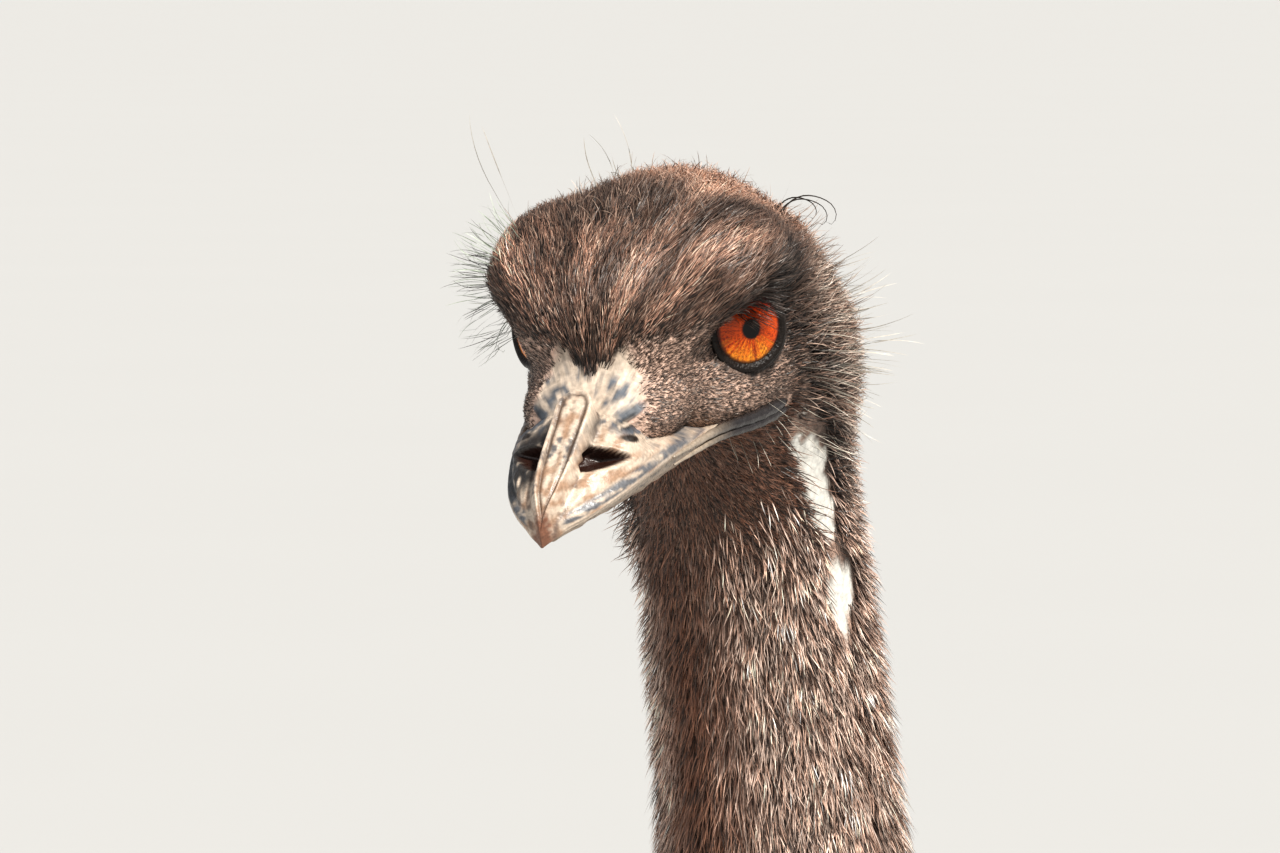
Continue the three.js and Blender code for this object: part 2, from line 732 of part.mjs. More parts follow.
function makePad(leg, grow = 0) {
  const { foot } = leg;
  const shape = profile([[0, 20.5], [0.35, 22], [0.7, 26.5], [1, 24]]);
  return tube(
    5,
    12,
    (share, angle) => {
      const z = mix(44, 0, share) + (share === 1 ? -Math.min(grow, 0) : 0);
      const round = shape(share) + grow;
      return vector(
        foot.x + round * Math.sin(angle),
        foot.y - 4 * share + round * 1.12 * Math.cos(angle),
        Math.max(z + (share === 0 ? grow : 0), 0),
      );
    },
    (end) => vector(foot.x, foot.y - 4 * end, end ? 0 : 44 + grow),
  );
}

// A toe lies on the floor: its underside is flat, with a waist between the pads, and plates cross its top.
function toeFrame(leg, toe) {
  const heading = radians(toe.splay * leg.side);
  const along = vector(Math.sin(heading), -Math.cos(heading), 0);
  return { along, across: vector(Math.cos(heading), Math.sin(heading), 0) };
}

function makeToe(leg, toe, grow = 0) {
  const { along, across } = toeFrame(leg, toe);
  const rows = 3 + toe.plates * 2;
  return tube(
    rows,
    8,
    (share, angle, row) => {
      const at = leg.foot.clone().addScaledVector(along, mix(6, toe.length, share) + (row === rows - 1 ? grow : 0));
      const waist = 1 - 0.11 * Math.cos(share * Math.PI * 6 + 0.6) ** 2;
      const taper = mix(1.18, 0.62, share) * (row === rows - 1 ? 0.72 : 1);
      const half = toe.width * taper * waist + grow;
      const top = mix(31, 12, Math.sqrt(share)) * (row === rows - 1 ? 0.8 : 1) + (row % 2 ? 0.9 : -0.5) + grow;
      const low = Math.sin(angle) < -0.3;
      return at
        .addScaledVector(across, half * (low ? 0.72 : 1) * Math.cos(angle))
        .setZ(low ? 0 : top * mix(0.42, 1, Math.max(Math.sin(angle), 0)));
    },
    (end) => leg.foot.clone().addScaledVector(along, end ? toe.length + grow : 6).setZ(5),
  );
}

function makeClaw(leg, toe) {
  const { along, across } = toeFrame(leg, toe);
  return tube(
    5,
    6,
    (share, angle) => {
      const at = leg.foot.clone().addScaledVector(along, toe.length - 7 + (toe.claw + 7) * share);
      const size = mix(1, 0.12, share ** 1.3);
      const z = 6.8 - 3.4 * share ** 2;
      return at
        .addScaledVector(across, toe.width * 0.46 * size * Math.cos(angle))
        .setZ(Math.max(z + 5.2 * size * Math.sin(angle), 0.8));
    },
    (end) => leg.foot.clone().addScaledVector(along, toe.length - 7 + (toe.claw + 7) * end).setZ(end ? 3.2 : 6.8),
  );
}

// Wings: an arm against the flank, and a fan of long plumes that hang from it.
function makeWing(wing, grow = 0) {
  const random = seeded(wing.side + 60);
  const flat = (share, angle) => mix(20, 9, share) * (1 - 0.35 * Math.abs(Math.sin(angle)));
  const core = skinTube(wing.line, 6, 8, flat, grow, [-grow, grow]);
  const over = (p) => Math.min(fleshForm(p) - 11, wing.form(p));
  const plumes = Array.from({ length: 5 }, (_, i) => {
    const share = mix(0.1, 0.92, i / 4);
    const at = wing.line.getPointAt(share);
    const ray = vector(wing.side * 0.85, 0, -0.3).normalize();
    return lock({
      ...drape({
        form: over,
        root: at.addScaledVector(ray, 11),
        lie: vector(wing.side * 0.2, 0.45, -0.85).normalize(),
        length: mix(165, 200, share) * mix(0.9, 1.1, random()),
        steps: 4,
        sink: 5,
        lift: 8,
        droop: 0.2,
      }),
      width: 56,
      thick: 6,
      grow,
    });
  });
  return joined([core, ...plumes]);
}

// Tail: a short stub behind the rump from which long plumes hang in tiers.
const TAIL_TIERS = [
  { count: 5, spread: 150, length: 240, lift: 8, rise: 0.2 },
  { count: 3, spread: 90, length: 200, lift: 4, rise: -0.4 },
];

function makeTail(grow = 0) {
  const random = seeded(91);
  const core = tube(
    7,
    10,
    (share, angle) => {
      const centre = TAIL_CENTRE.clone();
      const tilt = mix(12, 168, share);
      const ray = vector(
        Math.sin(radians(tilt)) * Math.sin(angle),
        Math.cos(radians(tilt)),
        Math.sin(radians(tilt)) * Math.cos(angle),
      );
      return centre.addScaledVector(ray, leaves(tailForm, centre, ray, 90) + grow);
    },
    (end) => TAIL_CENTRE.clone().add(vector(0, end ? -40 : 40, 0)),
  );
  const plumes = [];
  TAIL_TIERS.forEach((tier) => {
    for (let i = 0; i < tier.count; i++) {
      const angle = radians(mix(-tier.spread / 2, tier.spread / 2, i / (tier.count - 1)));
      const ray = vector(Math.sin(angle) * 0.9, 0.6, Math.cos(angle) * 0.5 + tier.rise).normalize();
      const root = rootAt(tailForm, TAIL_CENTRE, ray, 90);
      const path = drape({
        form: fleshForm,
        root,
        lie: vector(Math.sin(angle) * 0.5, 0.6, -0.5).normalize(),
        length: tier.length * mix(0.88, 1.12, random()),
        steps: 4,
        sink: 16,
        lift: tier.lift,
        droop: 0.5,
      });
      plumes.push(lock({ ...path, width: 74, thick: 8, grow }));
    }
  });
  return joined([core, ...plumes]);
}

// The whole bird.

const coat = { roughness: 0.9, metalness: 0 };
const MATERIALS = {
  plumage: { color: 0x5a463a, ...coat },
  neck_plumage: { color: 0x6e5141, ...coat },
  head_plumage: { color: 0x564337, ...coat },
  bill: { color: 0xb9a48f, roughness: 0.45, metalness: 0 },
  eye: { color: 0xd2501a, roughness: 0.1, metalness: 0 },
  leg_skin: { color: 0x55504a, roughness: 0.6, metalness: 0 },
  claw: { color: 0x2c2926, roughness: 0.4, metalness: 0 },
};

const bird = new THREE.Group();
bird.name = 'emu';

function geometryOf(made) {
  const mesh = made.getMesh();
  const geometry = new THREE.BufferGeometry();
  const snapped = Float32Array.from(mesh.vertProperties, (x) => Math.round(x / SNAP) * SNAP);
  geometry.setAttribute('position', new THREE.BufferAttribute(snapped, 3));
  geometry.setIndex(new THREE.BufferAttribute(new Uint32Array(mesh.triVerts), 1));
  return geometry;
}

// The largest closed surface of a solid as a named mesh, in the frame of the group that it is put in.
function place(group, name, material, made) {
  const whole = largest(made).simplify(SIMPLER);
  const geometry = geometryOf(largest(solid(geometryOf(whole))));
  geometry.computeVertexNormals();
  const piece = new THREE.Mesh(geometry, new THREE.MeshStandardMaterial(MATERIALS[material]));
  piece.name = name;
  group.add(piece);
}

const head = new THREE.Group();
head.applyMatrix4(headPlace);
bird.add(head);
place(head, 'head', 'head_plumage', makeHead());
const headCutter = headLocal(GAP);
place(head, 'bill_upper', 'bill', makeBillUpper().subtract(headCutter));
place(head, 'bill_lower', 'bill', makeBillLower().subtract(makeBillUpper(GAP)).subtract(headCutter));
place(head, 'eye_left', 'eye', eyeball(1));
place(head, 'eye_right', 'eye', eyeball(-1));

const wingCutters = wings.map((wing) => makeWing(wing, GAP));
place(bird, 'torso', 'plumage', wingCutters.reduce((body, wing) => body.subtract(wing), makeTorso()));
const torsoCutter = makeTorso(GAP);
const coreCutter = torsoCore(GAP);
let above = headCutter.add(makeBillUpper(GAP)).add(makeBillLower(GAP)).transform(headPlace.elements);
for (const part of [...NECK_LENGTHS].reverse()) {
  const cut = makeNeck(part).subtract(above).subtract(torsoCutter);
  place(bird, part.name, 'neck_plumage', cut.subtract(wingCutters[0]).subtract(wingCutters[1]));
  above = makeNeck(part, GAP);
}

const tail = makeTail().subtract(torsoCutter).subtract(wingCutters[0]).subtract(wingCutters[1]);
place(bird, 'tail', 'plumage', tail);
const tailCutter = makeTail(GAP);
wings.forEach((wing) => {
  place(bird, wing.side > 0 ? 'wing_left' : 'wing_right', 'plumage', makeWing(wing).subtract(coreCutter));
});
for (const leg of legs) {
  const wing = wingCutters[leg.side > 0 ? 0 : 1];
  const thigh = makeThigh(leg).subtract(torsoCutter).subtract(wing).subtract(tailCutter);
  place(bird, `thigh_${leg.name}`, 'plumage', thigh);
  const shank = makeShank(leg).subtract(makeThigh(leg, GAP)).subtract(makePad(leg, GAP));
  place(bird, `shank_${leg.name}`, 'leg_skin', shank);
  place(bird, `foot_${leg.name}`, 'leg_skin', makePad(leg));
  TOES.forEach((toe, i) => {
    let made = makeToe(leg, toe).subtract(makePad(leg, GAP)).subtract(makeShank(leg, GAP));
    if (i !== 1) made = made.subtract(makeToe(leg, TOES[1], GAP));
    place(bird, `toe_${toe.name}_${leg.name}`, 'leg_skin', made);
    const claw = makeClaw(leg, toe).subtract(makeToe(leg, toe, GAP));
    place(bird, `claw_${toe.name}_${leg.name}`, 'claw', claw);
  });
}

// The part's origin is on the floor, under the middle of its outline.
bird.updateMatrixWorld(true);
const outline = new THREE.Box3().setFromObject(bird, true);
const middle = outline.getCenter(vector(0, 0, 0));
const offset = [middle.x, middle.y, outline.min.z].map((x) => -Math.round(x / SNAP) * SNAP);
bird.position.set(...offset);

export default bird;
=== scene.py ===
"""The looks of an adult emu that stands still, at life size: its skin, plumage, bill, eyes and legs.

Shapes are worked out in millimetres in the bird's own frame, where it faces -Y and its left side is +X,
and are moved onto the frame and turned to metres when a piece is made. The head has a frame of its own
between the eyes, with +X to its left, +Y to its back and +Z up.
"""

import json
import math

import bpy
import numpy as np
from bpy.props import FloatProperty, FloatVectorProperty, PointerProperty
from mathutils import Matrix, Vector

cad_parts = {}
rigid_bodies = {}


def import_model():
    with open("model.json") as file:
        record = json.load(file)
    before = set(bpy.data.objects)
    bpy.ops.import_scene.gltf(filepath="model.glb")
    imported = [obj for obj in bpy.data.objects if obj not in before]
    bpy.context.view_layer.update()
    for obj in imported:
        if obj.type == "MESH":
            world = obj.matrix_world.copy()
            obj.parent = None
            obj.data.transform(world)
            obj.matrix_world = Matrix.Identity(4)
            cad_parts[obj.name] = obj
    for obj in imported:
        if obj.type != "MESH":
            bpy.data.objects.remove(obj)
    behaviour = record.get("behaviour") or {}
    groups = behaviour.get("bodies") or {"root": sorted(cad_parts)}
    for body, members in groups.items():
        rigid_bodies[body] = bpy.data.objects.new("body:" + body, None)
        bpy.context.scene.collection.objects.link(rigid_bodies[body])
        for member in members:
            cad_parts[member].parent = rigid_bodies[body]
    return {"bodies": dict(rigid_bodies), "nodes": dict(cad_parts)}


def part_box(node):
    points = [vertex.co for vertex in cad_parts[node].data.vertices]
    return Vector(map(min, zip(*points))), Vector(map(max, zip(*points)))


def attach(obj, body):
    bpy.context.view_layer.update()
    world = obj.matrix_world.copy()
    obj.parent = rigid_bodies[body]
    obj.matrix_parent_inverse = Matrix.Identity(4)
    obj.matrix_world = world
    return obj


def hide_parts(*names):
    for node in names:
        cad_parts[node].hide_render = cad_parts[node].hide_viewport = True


bl_info = {
    "name": "Emu",
    "version": (1, 0, 0),
    "blender": (4, 5, 0),
    "location": "3D View > Sidebar > Emu",
    "description": "Skin, plumage, bill, eyes and legs of a life-size emu over its solids",
    "category": "Object",
}

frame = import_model()

ours = {*frame["nodes"].values(), *frame["bodies"].values()}
for startup in [thing for thing in bpy.data.objects if thing not in ours]:
    bpy.data.objects.remove(startup)
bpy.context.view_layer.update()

MM = 0.001
LEFT = np.array([1.0, 0.0, 0.0])
UP = np.array([0.0, 0.0, 1.0])
SIDES = (1, -1)
SIDE_NAMES = ((1, "left"), (-1, "right"))

# The head's place on the neck.
EYE_HEIGHT = 1610
EYE_AHEAD = 430
HEAD_NOD = math.radians(20)
HEAD_TURN = math.radians(8)
NECK_JOINT_BEHIND_EYES = 55
EYEBALL_RADIUS = 13.5
LID_THICKNESS = 1.6
EYE_OUT = 22.8
EYE_BEHIND = 1.5
EYE_UP = 0.5
EYE_ASIDE = math.radians(50)

# The body and the legs.
TORSO_Z = 908
HOCK_HEIGHT = 420
HOCK_BEHIND = 92
HOCK_APART = 78
FOOT_BEHIND = 28
FOOT_APART = 84
STEP_AHEAD = 48


def mix(a, b, t):
    return a + (b - a) * t


def smooth(low, high, x):
    """0 below low, 1 above high, and an even S between them."""
    t = np.clip((np.asarray(x, float) - low) / (high - low), 0, 1)
    return t * t * (3 - 2 * t)


def unit(v):
    return v / np.maximum(np.linalg.norm(v, axis=-1, keepdims=True), 1e-9)


def dot(a, b):
    return (a * b).sum(-1)


def column(x):
    return np.asarray(x, float)[..., None]


def hump(x, middle, width):
    """1 at the middle, and less to both sides: a bell curve."""
    return np.exp(-(((x - middle) / width) ** 2))


def turns(count):
    """Even angles once round."""
    return np.arange(count) / count * 2 * np.pi


def grid(shares, around):
    """The share of each ring, and the angle of each of its corners."""
    return np.meshgrid(shares, turns(around), indexing="ij")


def ripple(p, size, seed):
    """A smooth random value near -1 to 1: the sum of sine waves of about one size in scattered directions."""
    rng = np.random.default_rng(seed)
    ways = unit(rng.normal(size=(10, 3))) * (2 * np.pi / size) * rng.uniform(0.6, 1.7, (10, 1))
    return np.sin(p @ ways.T + rng.uniform(0, 2 * np.pi, 10)).sum(-1) / 4.2


def cubic(b, c, start, end, t):
    """The cubic curve from b to c by the share t, with given slopes where it starts and ends."""
    return (2 * b - 2 * c + start + end) * t**3 + (3 * c - 3 * b - 2 * start - end) * t**2 + start * t + b


def profile(pairs):
    """Reads a smooth curve through [place, value] pairs: a Catmull-Rom curve in the plane."""
    knots = np.array([pairs[0], *pairs, pairs[-1]], float)
    t = np.linspace(0, 1, 13)[:, None]
    runs = []
    for a, b, c, d in zip(knots, knots[1:], knots[2:], knots[3:]):
        start, end = (c - a) / 2, (d - b) / 2
        runs.append(cubic(b, c, start, end, t))
    places, values = np.vstack(runs).T
    return lambda x: np.interp(x, places, values)


class Line:
    """A smooth line through points, a centripetal Catmull-Rom curve, read by the share of its length."""

    def __init__(self, points):
        points = np.asarray(points, float)
        knots = np.vstack([2 * points[0] - points[1], points, 2 * points[-1] - points[-2]])
        t = np.linspace(0, 1, 33)[:, None]
        runs = []
        for a, b, c, d in zip(knots, knots[1:], knots[2:], knots[3:]):
            spans = ((a, b), (b, c), (c, d))
            before, here, after = (max(np.linalg.norm(v - u) ** 0.5, 1e-4) for u, v in spans)
            start = ((b - a) / before - (c - a) / (before + here) + (c - b) / here) * here
            end = ((c - b) / here - (d - b) / (here + after) + (d - c) / after) * here
            runs.append(cubic(b, c, start, end, t))
        self.points = np.vstack(runs)
        reach = np.linalg.norm(np.diff(self.points, axis=0), axis=1).cumsum()
        self.length = reach[-1]
        self.shares = np.concatenate([[0], reach]) / self.length

    def at(self, share):
        return np.stack([np.interp(share, self.shares, self.points[:, i]) for i in range(3)], -1)

    def along(self, share):
        step = 0.004
        share = np.asarray(share, float)
        return unit(self.at(np.minimum(share + step, 1)) - self.at(np.maximum(share - step, 0)))


# Forms. Each gives the distance from points to a surface, near that surface, less than 0 inside.


def turn_x(angle):
    c, s = math.cos(angle), math.sin(angle)
    return np.array([[1, 0, 0], [0, c, -s], [0, s, c]])


def turn_z(angle):
    c, s = math.cos(angle), math.sin(angle)
    return np.array([[c, -s, 0], [s, c, 0], [0, 0, 1]])


def ellipsoid(centre, radii, tilt=0.0):
    centre, radii = np.array(centre, float), np.array(radii, float)
    back = turn_x(-tilt)

    def form(p):
        q = (p - centre) @ back.T
        near = np.linalg.norm(q / radii, axis=-1)
        slope = np.linalg.norm(q / radii**2, axis=-1)
        return near * (near - 1) / np.maximum(slope, 1e-9)

    return form


def limb(line, radius, segments):
    """A round limb: the least distance to any of its line's short stretches, less the radius there."""
    joints = line.at(np.linspace(0, 1, segments + 1))

    def form(p):
        best = np.full(p.shape[:-1], np.inf)
        for i, (a, b) in enumerate(zip(joints, joints[1:])):
            along = b - a
            t = np.clip((p - a) @ along / (along @ along), 0, 1)
            reach = np.linalg.norm(p - a - column(t) * along, axis=-1)
            best = np.minimum(best, reach - radius((i + t) / segments))
        return best

    return form


def blended(blend, forms):
    """Forms that flow together: minus the blend times the logarithm of the sum of exp(-form / blend)."""

    def form(p):
        total = 0
        for one in forms:
            total = total + np.exp(np.clip(-one(p) / blend, -60, 60))
        return -blend * np.log(total)

    return form


def normal_of(form, p, step=0.4):
    """The direction in which a form grows fastest, from its slope along each axis."""
    here = form(p)
    return unit(np.stack([form(p + step * axis) - here for axis in np.eye(3)], -1))


HALVINGS = 17


def leaves(form, origin, direction, reach):
    """How far along each ray from inside a form its surface lies, found by halving the rest of its reach."""
    inside = np.zeros(np.broadcast(origin[..., 0], direction[..., 0]).shape)
    outside = inside + reach
    for _ in range(HALVINGS):
        middle = (inside + outside) / 2
        within = form(origin + column(middle) * direction) < 0
        inside = np.where(within, middle, inside)
        outside = np.where(within, outside, middle)
    return inside


HEAD_CENTRE = np.array(
    [
        NECK_JOINT_BEHIND_EYES * math.sin(HEAD_TURN),
        -EYE_AHEAD + NECK_JOINT_BEHIND_EYES * (1 - math.cos(HEAD_TURN)),
        EYE_HEIGHT,
    ]
)
HEAD_AXES = turn_z(HEAD_TURN) @ turn_x(HEAD_NOD)


def on_head(q):
    """From the head's frame to the bird's."""
    return np.asarray(q, float) @ HEAD_AXES.T + HEAD_CENTRE


def to_head(p):
    """From the bird's frame to the head's."""
    return (np.asarray(p, float) - HEAD_CENTRE) @ HEAD_AXES


def frame_shift():
    """How far the frame lies from the bird's own frame: between the eyeballs' middle there and here."""
    boxes = [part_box(name) for name in ("eye_left", "eye_right")]
    found = np.mean([(np.array(low) + np.array(high)) / 2 for low, high in boxes], axis=0) / MM
    shift = found - on_head((0, EYE_BEHIND, EYE_UP))
    return np.array([shift[0], shift[1], 0])


SHIFT = frame_shift()

neck_line = Line(
    [
        (0, -150, 925),
        (0, -235, 975),
        (0, -300, 1050),
        (0, -334, 1150),
        (0, -340, 1260),
        (0, -326, 1370),
        (0, -333, 1465),
        (3, -356, 1545),
        (6, -388, 1598),
    ]
)
neck_radius = profile(
    [[0, 114], [0.13, 92], [0.26, 66], [0.4, 49], [0.54, 40], [0.68, 36], [0.82, 32], [0.93, 31], [1, 30]]
)
torso_form = blended(
    16,
    [
        ellipsoid((0, 10, TORSO_Z), (160, 300, 158), math.radians(-4)),
        ellipsoid((0, 220, TORSO_Z - 2), (112, 150, 112), math.radians(18)),
        ellipsoid((0, -205, TORSO_Z - 18), (112, 118, 128)),
    ],
)
neck_form = limb(neck_line, neck_radius, 22)
tail_form = ellipsoid((0, 348, TORSO_Z - 26), (62, 50, 50))
body_form = blended(12, [blended(14, [torso_form, neck_form]), tail_form])


thigh_radius = profile([[0, 82], [0.3, 80], [0.6, 58], [0.85, 35], [1, 25]])


class Leg:
    """The places of one leg, and the form of its thigh."""

    def __init__(self, name, side, ahead):
        self.name, self.side = name, side
        self.foot = np.array([side * FOOT_APART, FOOT_BEHIND - ahead, 0.0])
        self.hock = np.array([side * HOCK_APART, HOCK_BEHIND - ahead * 0.75, HOCK_HEIGHT])
        self.thigh_line = Line(
            [
                (side * 88, 5 - ahead * 0.1, 850),
                (side * 98, -ahead * 0.3, 740),
                (side * 92, 42 - ahead * 0.5, 610),
                (side * (HOCK_APART + 2), HOCK_BEHIND - 18 - ahead * 0.7, HOCK_HEIGHT + 78),
            ]
        )
        self.thigh_form = limb(self.thigh_line, thigh_radius, 8)

    def toe_axes(self, splay):
        """The directions along and across a toe that turns outwards by so many degrees."""
        heading = math.radians(splay * self.side)
        along = np.array([math.sin(heading), -math.cos(heading), 0])
        return along, np.array([math.cos(heading), math.sin(heading), 0])


legs = [Leg("left", 1, STEP_AHEAD), Leg("right", -1, -STEP_AHEAD)]
flesh_form = blended(12, [body_form, *(leg.thigh_form for leg in legs)])
head_form = blended(
    3.5,
    [
        ellipsoid((0, 21, 4), (37, 44, 32)),
        ellipsoid((0, -9, 10), (31, 28, 20)),
        ellipsoid((17, 17, -15), (18.5, 38, 15)),
        ellipsoid((-17, 17, -15), (18.5, 38, 15)),
        ellipsoid((0, -30, -8), (23, 24, 14)),
        ellipsoid((25, 4, 19), (14, 24, 13)),
        ellipsoid((-25, 4, 19), (14, 24, 13)),
        ellipsoid((19, 43, -21), (21, 21, 26)),
        ellipsoid((-19, 43, -21), (21, 21, 26)),
    ],
)


EYE_MOVED = np.array([1.8, 3.0, 1.2])  # where the eyes sit in the photo, against the solids' eyes
EYE_RAISED = 0.15  # how much of its look points up, in the head's frame


def eye_centre(side):
    moved = np.array([side, 1, 1]) * EYE_MOVED
    return np.array([side * EYE_OUT, EYE_BEHIND, EYE_UP]) + moved


def eye_look(side):
    return unit(np.array([side * math.sin(EYE_ASIDE), -math.cos(EYE_ASIDE), EYE_RAISED]))


def whole_form(p):
    """Head, neck and body as one flowing form."""
    return blended(6, [body_form, lambda r: head_form(to_head(r))])(p)


BODY_COAT_DEPTH = 2.5


def coat_depth(p):
    """The skin's depth under the coat: little on the face, more on the crown and neck, 2.5 mm on the body."""
    q = to_head(p)
    depth = mix(1.0, 3.6, smooth(-25, 20, q[..., 1]))
    depth = depth + 1.6 * smooth(8, 4, np.abs(q[..., 0])) * smooth(-41, -46, q[..., 1])
    cheek = smooth(2, -8, q[..., 2]) * smooth(34, 6, q[..., 1])
    depth = mix(depth, 1.2, cheek)
    ruff = smooth(18, 27, np.abs(q[..., 0])) * smooth(22, 12, q[..., 2]) * smooth(62, 45, q[..., 1])
    depth = mix(depth, 0.6, ruff)
    for side in SIDES:
        depth = mix(depth, 0.8, smooth(38, 16, np.linalg.norm(q - eye_centre(side), axis=-1)))
    return mix(depth, BODY_COAT_DEPTH, smooth(1300, 1000, p[..., 2]))


groove_form = ellipsoid((32, -19, 2), (9, 17, 8))


def on_left(q):
    """The same points, those on the head's right mirrored to its left."""
    return np.stack([np.abs(q[..., 0]), q[..., 1], q[..., 2]], -1)


def bare_form(p):
    """The whole form, less the coat's depth and, flowing into it, a groove in the lores before each eye."""
    groove = groove_form(on_left(to_head(p)))
    return -blended(1.2, [lambda r: -whole_form(r) - coat_depth(r), lambda r: groove])(p)


SOCKET_AHEAD = 15.0
SOCKET_RADIUS = 12.2


def skin_form(p):
    """The bare form, with a hollow cut round each eye."""
    q = to_head(p)
    form = bare_form(p)
    for side in SIDES:
        hollow = SOCKET_RADIUS - np.linalg.norm(q - eye_centre(side) - eye_look(side) * SOCKET_AHEAD, axis=-1)
        form = np.maximum(form, hollow)
    return form


def coat_form(p):
    """What feathers are held off: the bare form and the eyeballs with their lids."""
    q = to_head(p)
    form = bare_form(p)
    for side in SIDES:
        ball = np.linalg.norm(q - eye_centre(side), axis=-1) - EYEBALL_RADIUS - LID_THICKNESS
        form = np.minimum(form, ball)
    return form


# Surfaces as grids: rows of points, each row a closed ring.


class Surface:
    """A closed tube: rings of points along a line, with a pole at each end."""

    def __init__(self, rings, start, end):
        self.rings = np.asarray(rings, float)
        self.start, self.end = np.asarray(start, float), np.asarray(end, float)

    def points(self):
        return np.vstack([self.rings.reshape(-1, 3), self.start, self.end])

    def faces(self):
        rows, around = self.rings.shape[:2]
        index = np.arange(rows * around).reshape(rows, around)
        ahead = np.roll(index, -1, axis=1)
        quads = np.stack([index[:-1], index[1:], ahead[1:], ahead[:-1]], -1).reshape(-1, 4)
        first, last = rows * around, rows * around + 1
        caps = np.vstack(
            [
                np.stack([np.full(around, first), index[0], ahead[0]], -1),
                np.stack([np.full(around, last), ahead[-1], index[-1]], -1),
            ]
        )
        return outward(self.points(), [quads, caps])

    def places(self):
        """The share along and the share around of every corner, as an unwrap of the tube."""
        rows, around = self.rings.shape[:2]
        u, v = np.meshgrid(np.linspace(0, 1, rows), np.arange(around) / around, indexing="ij")
        return np.vstack([np.stack([u, v], -1).reshape(-1, 2), [0, 0.5], [1, 0.5]])


def outward(points, groups):
    """The same faces, turned round if together they hold less than no volume."""
    volume = 0
    for faces in groups:
        a = points[faces[:, 0]]
        for i in range(1, faces.shape[1] - 1):
            volume += dot(a, np.cross(points[faces[:, i]], points[faces[:, i + 1]])).sum()
    return groups if volume > 0 else [faces[:, ::-1] for faces in groups]


def joined(surfaces):
    """Several closed tubes as one set of points and faces."""
    points, groups, start = [], [], 0
    for surface in surfaces:
        made = surface.points()
        points.append(made)
        groups += [faces + start for faces in surface.faces()]
        start += len(made)
    return np.vstack(points), groups


def cross_frames(line, shares):
    """Across a line at each share: its point, and the directions along, to the left and to the back."""
    at, along = line.at(shares), line.along(shares)
    side = unit(LEFT - column(along @ LEFT) * along)
    return at, along, side, np.cross(along, side)


START_REACH = 200
END_REACH = 80


def ray_tube(line, shares, around, form, reach, caps=(7, 7)):
    """A tube where rays across a line leave a form; at each end the rays lean over to point along it."""
    at, along, side, back = cross_frames(line, np.asarray(shares, float))
    angles = turns(around)
    rays = column(np.sin(angles)) * side[:, None] + column(np.cos(angles)) * back[:, None]
    origins = np.repeat(at[:, None], around, axis=1)
    leans = np.linspace(0, np.pi / 2, caps[0] + 2)[1:-1][::-1, None, None]
    first = np.cos(leans) * rays[0] - np.sin(leans) * along[0]
    leans = np.linspace(0, np.pi / 2, caps[1] + 2)[1:-1, None, None]
    last = np.cos(leans) * rays[-1] + np.sin(leans) * along[-1]
    rays = np.concatenate([first, rays, last])
    before, after = np.repeat(origins[:1], caps[0], 0), np.repeat(origins[-1:], caps[1], 0)
    origins = np.concatenate([before, origins, after])
    spans = reach(origins) if callable(reach) else reach
    rings = origins + column(leaves(form, origins, rays, spans)) * rays
    start = at[0] - along[0] * leaves(form, at[:1], -along[:1], START_REACH)
    end = at[-1] + along[-1] * leaves(form, at[-1:], along[-1:], END_REACH)
    return Surface(rings, start, end)


def skin_tube(line, rows, around, reach):
    """A tube round a line: reach(share, angle) is its distance from the line, with angle 0 to the back."""
    shares = np.linspace(0, 1, rows)
    at, along = line.at(shares), line.along(shares)
    side = unit(LEFT - column(along @ LEFT) * along)
    back = np.cross(side, along)
    share, angle = grid(shares, around)
    out = column(np.sin(angle)) * side[:, None] + column(np.cos(angle)) * back[:, None]
    return Surface(at[:, None] + column(reach(share, angle)) * out, at[0], at[-1])


# Pieces.


def new_piece(name, points, groups, finish, replaced=(), colours=None, places=None, extra=None):
    """A mesh from points in the bird's frame, in millimetres, and its triangles and quads in groups."""
    mesh = bpy.data.meshes.new(name)
    mesh.vertices.add(len(points))
    mesh.vertices.foreach_set("co", ((points + SHIFT) * MM).astype(np.float32).ravel())
    corners = np.concatenate([faces.ravel() for faces in groups]).astype(np.int32)
    counts = np.concatenate([np.full(len(faces), faces.shape[1]) for faces in groups])
    mesh.loops.add(len(corners))
    mesh.loops.foreach_set("vertex_index", corners)
    mesh.polygons.add(len(counts))
    mesh.polygons.foreach_set("loop_start", (np.cumsum(counts) - counts).astype(np.int32))
    mesh.polygons.foreach_set("use_smooth", np.ones(len(counts), bool))
    mesh.update(calc_edges=True)
    if colours is not None:
        paint = mesh.attributes.new("tint", "FLOAT_COLOR", "POINT")
        rgba = np.ones((len(points), 4), np.float32)
        rgba[:, :3] = np.clip(colours, 0, 1)
        paint.data.foreach_set("color", rgba.ravel())
    for label, values in (extra or {}).items():
        mesh.attributes.new(label, "FLOAT", "POINT").data.foreach_set("value", values.astype(np.float32))
    if places is not None:
        unwrap = mesh.uv_layers.new(name="OFBake")
        unwrap.data.foreach_set("uv", places[corners].astype(np.float32).ravel())
    piece = bpy.data.objects.new(name, mesh)
    bpy.context.scene.collection.objects.link(piece)
    mesh.materials.append(finish)
    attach(piece, "root")
    if replaced:
        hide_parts(*replaced)
    return piece


def settle(piece):
    """Applies a piece's modifiers."""
    bpy.context.view_layer.update()
    graph = bpy.context.evaluated_depsgraph_get()
    shaped = piece.evaluated_get(graph)
    mesh = bpy.data.meshes.new_from_object(shaped, preserve_all_data_layers=True, depsgraph=graph)
    piece.modifiers.clear()
    piece.data = mesh


# Materials.


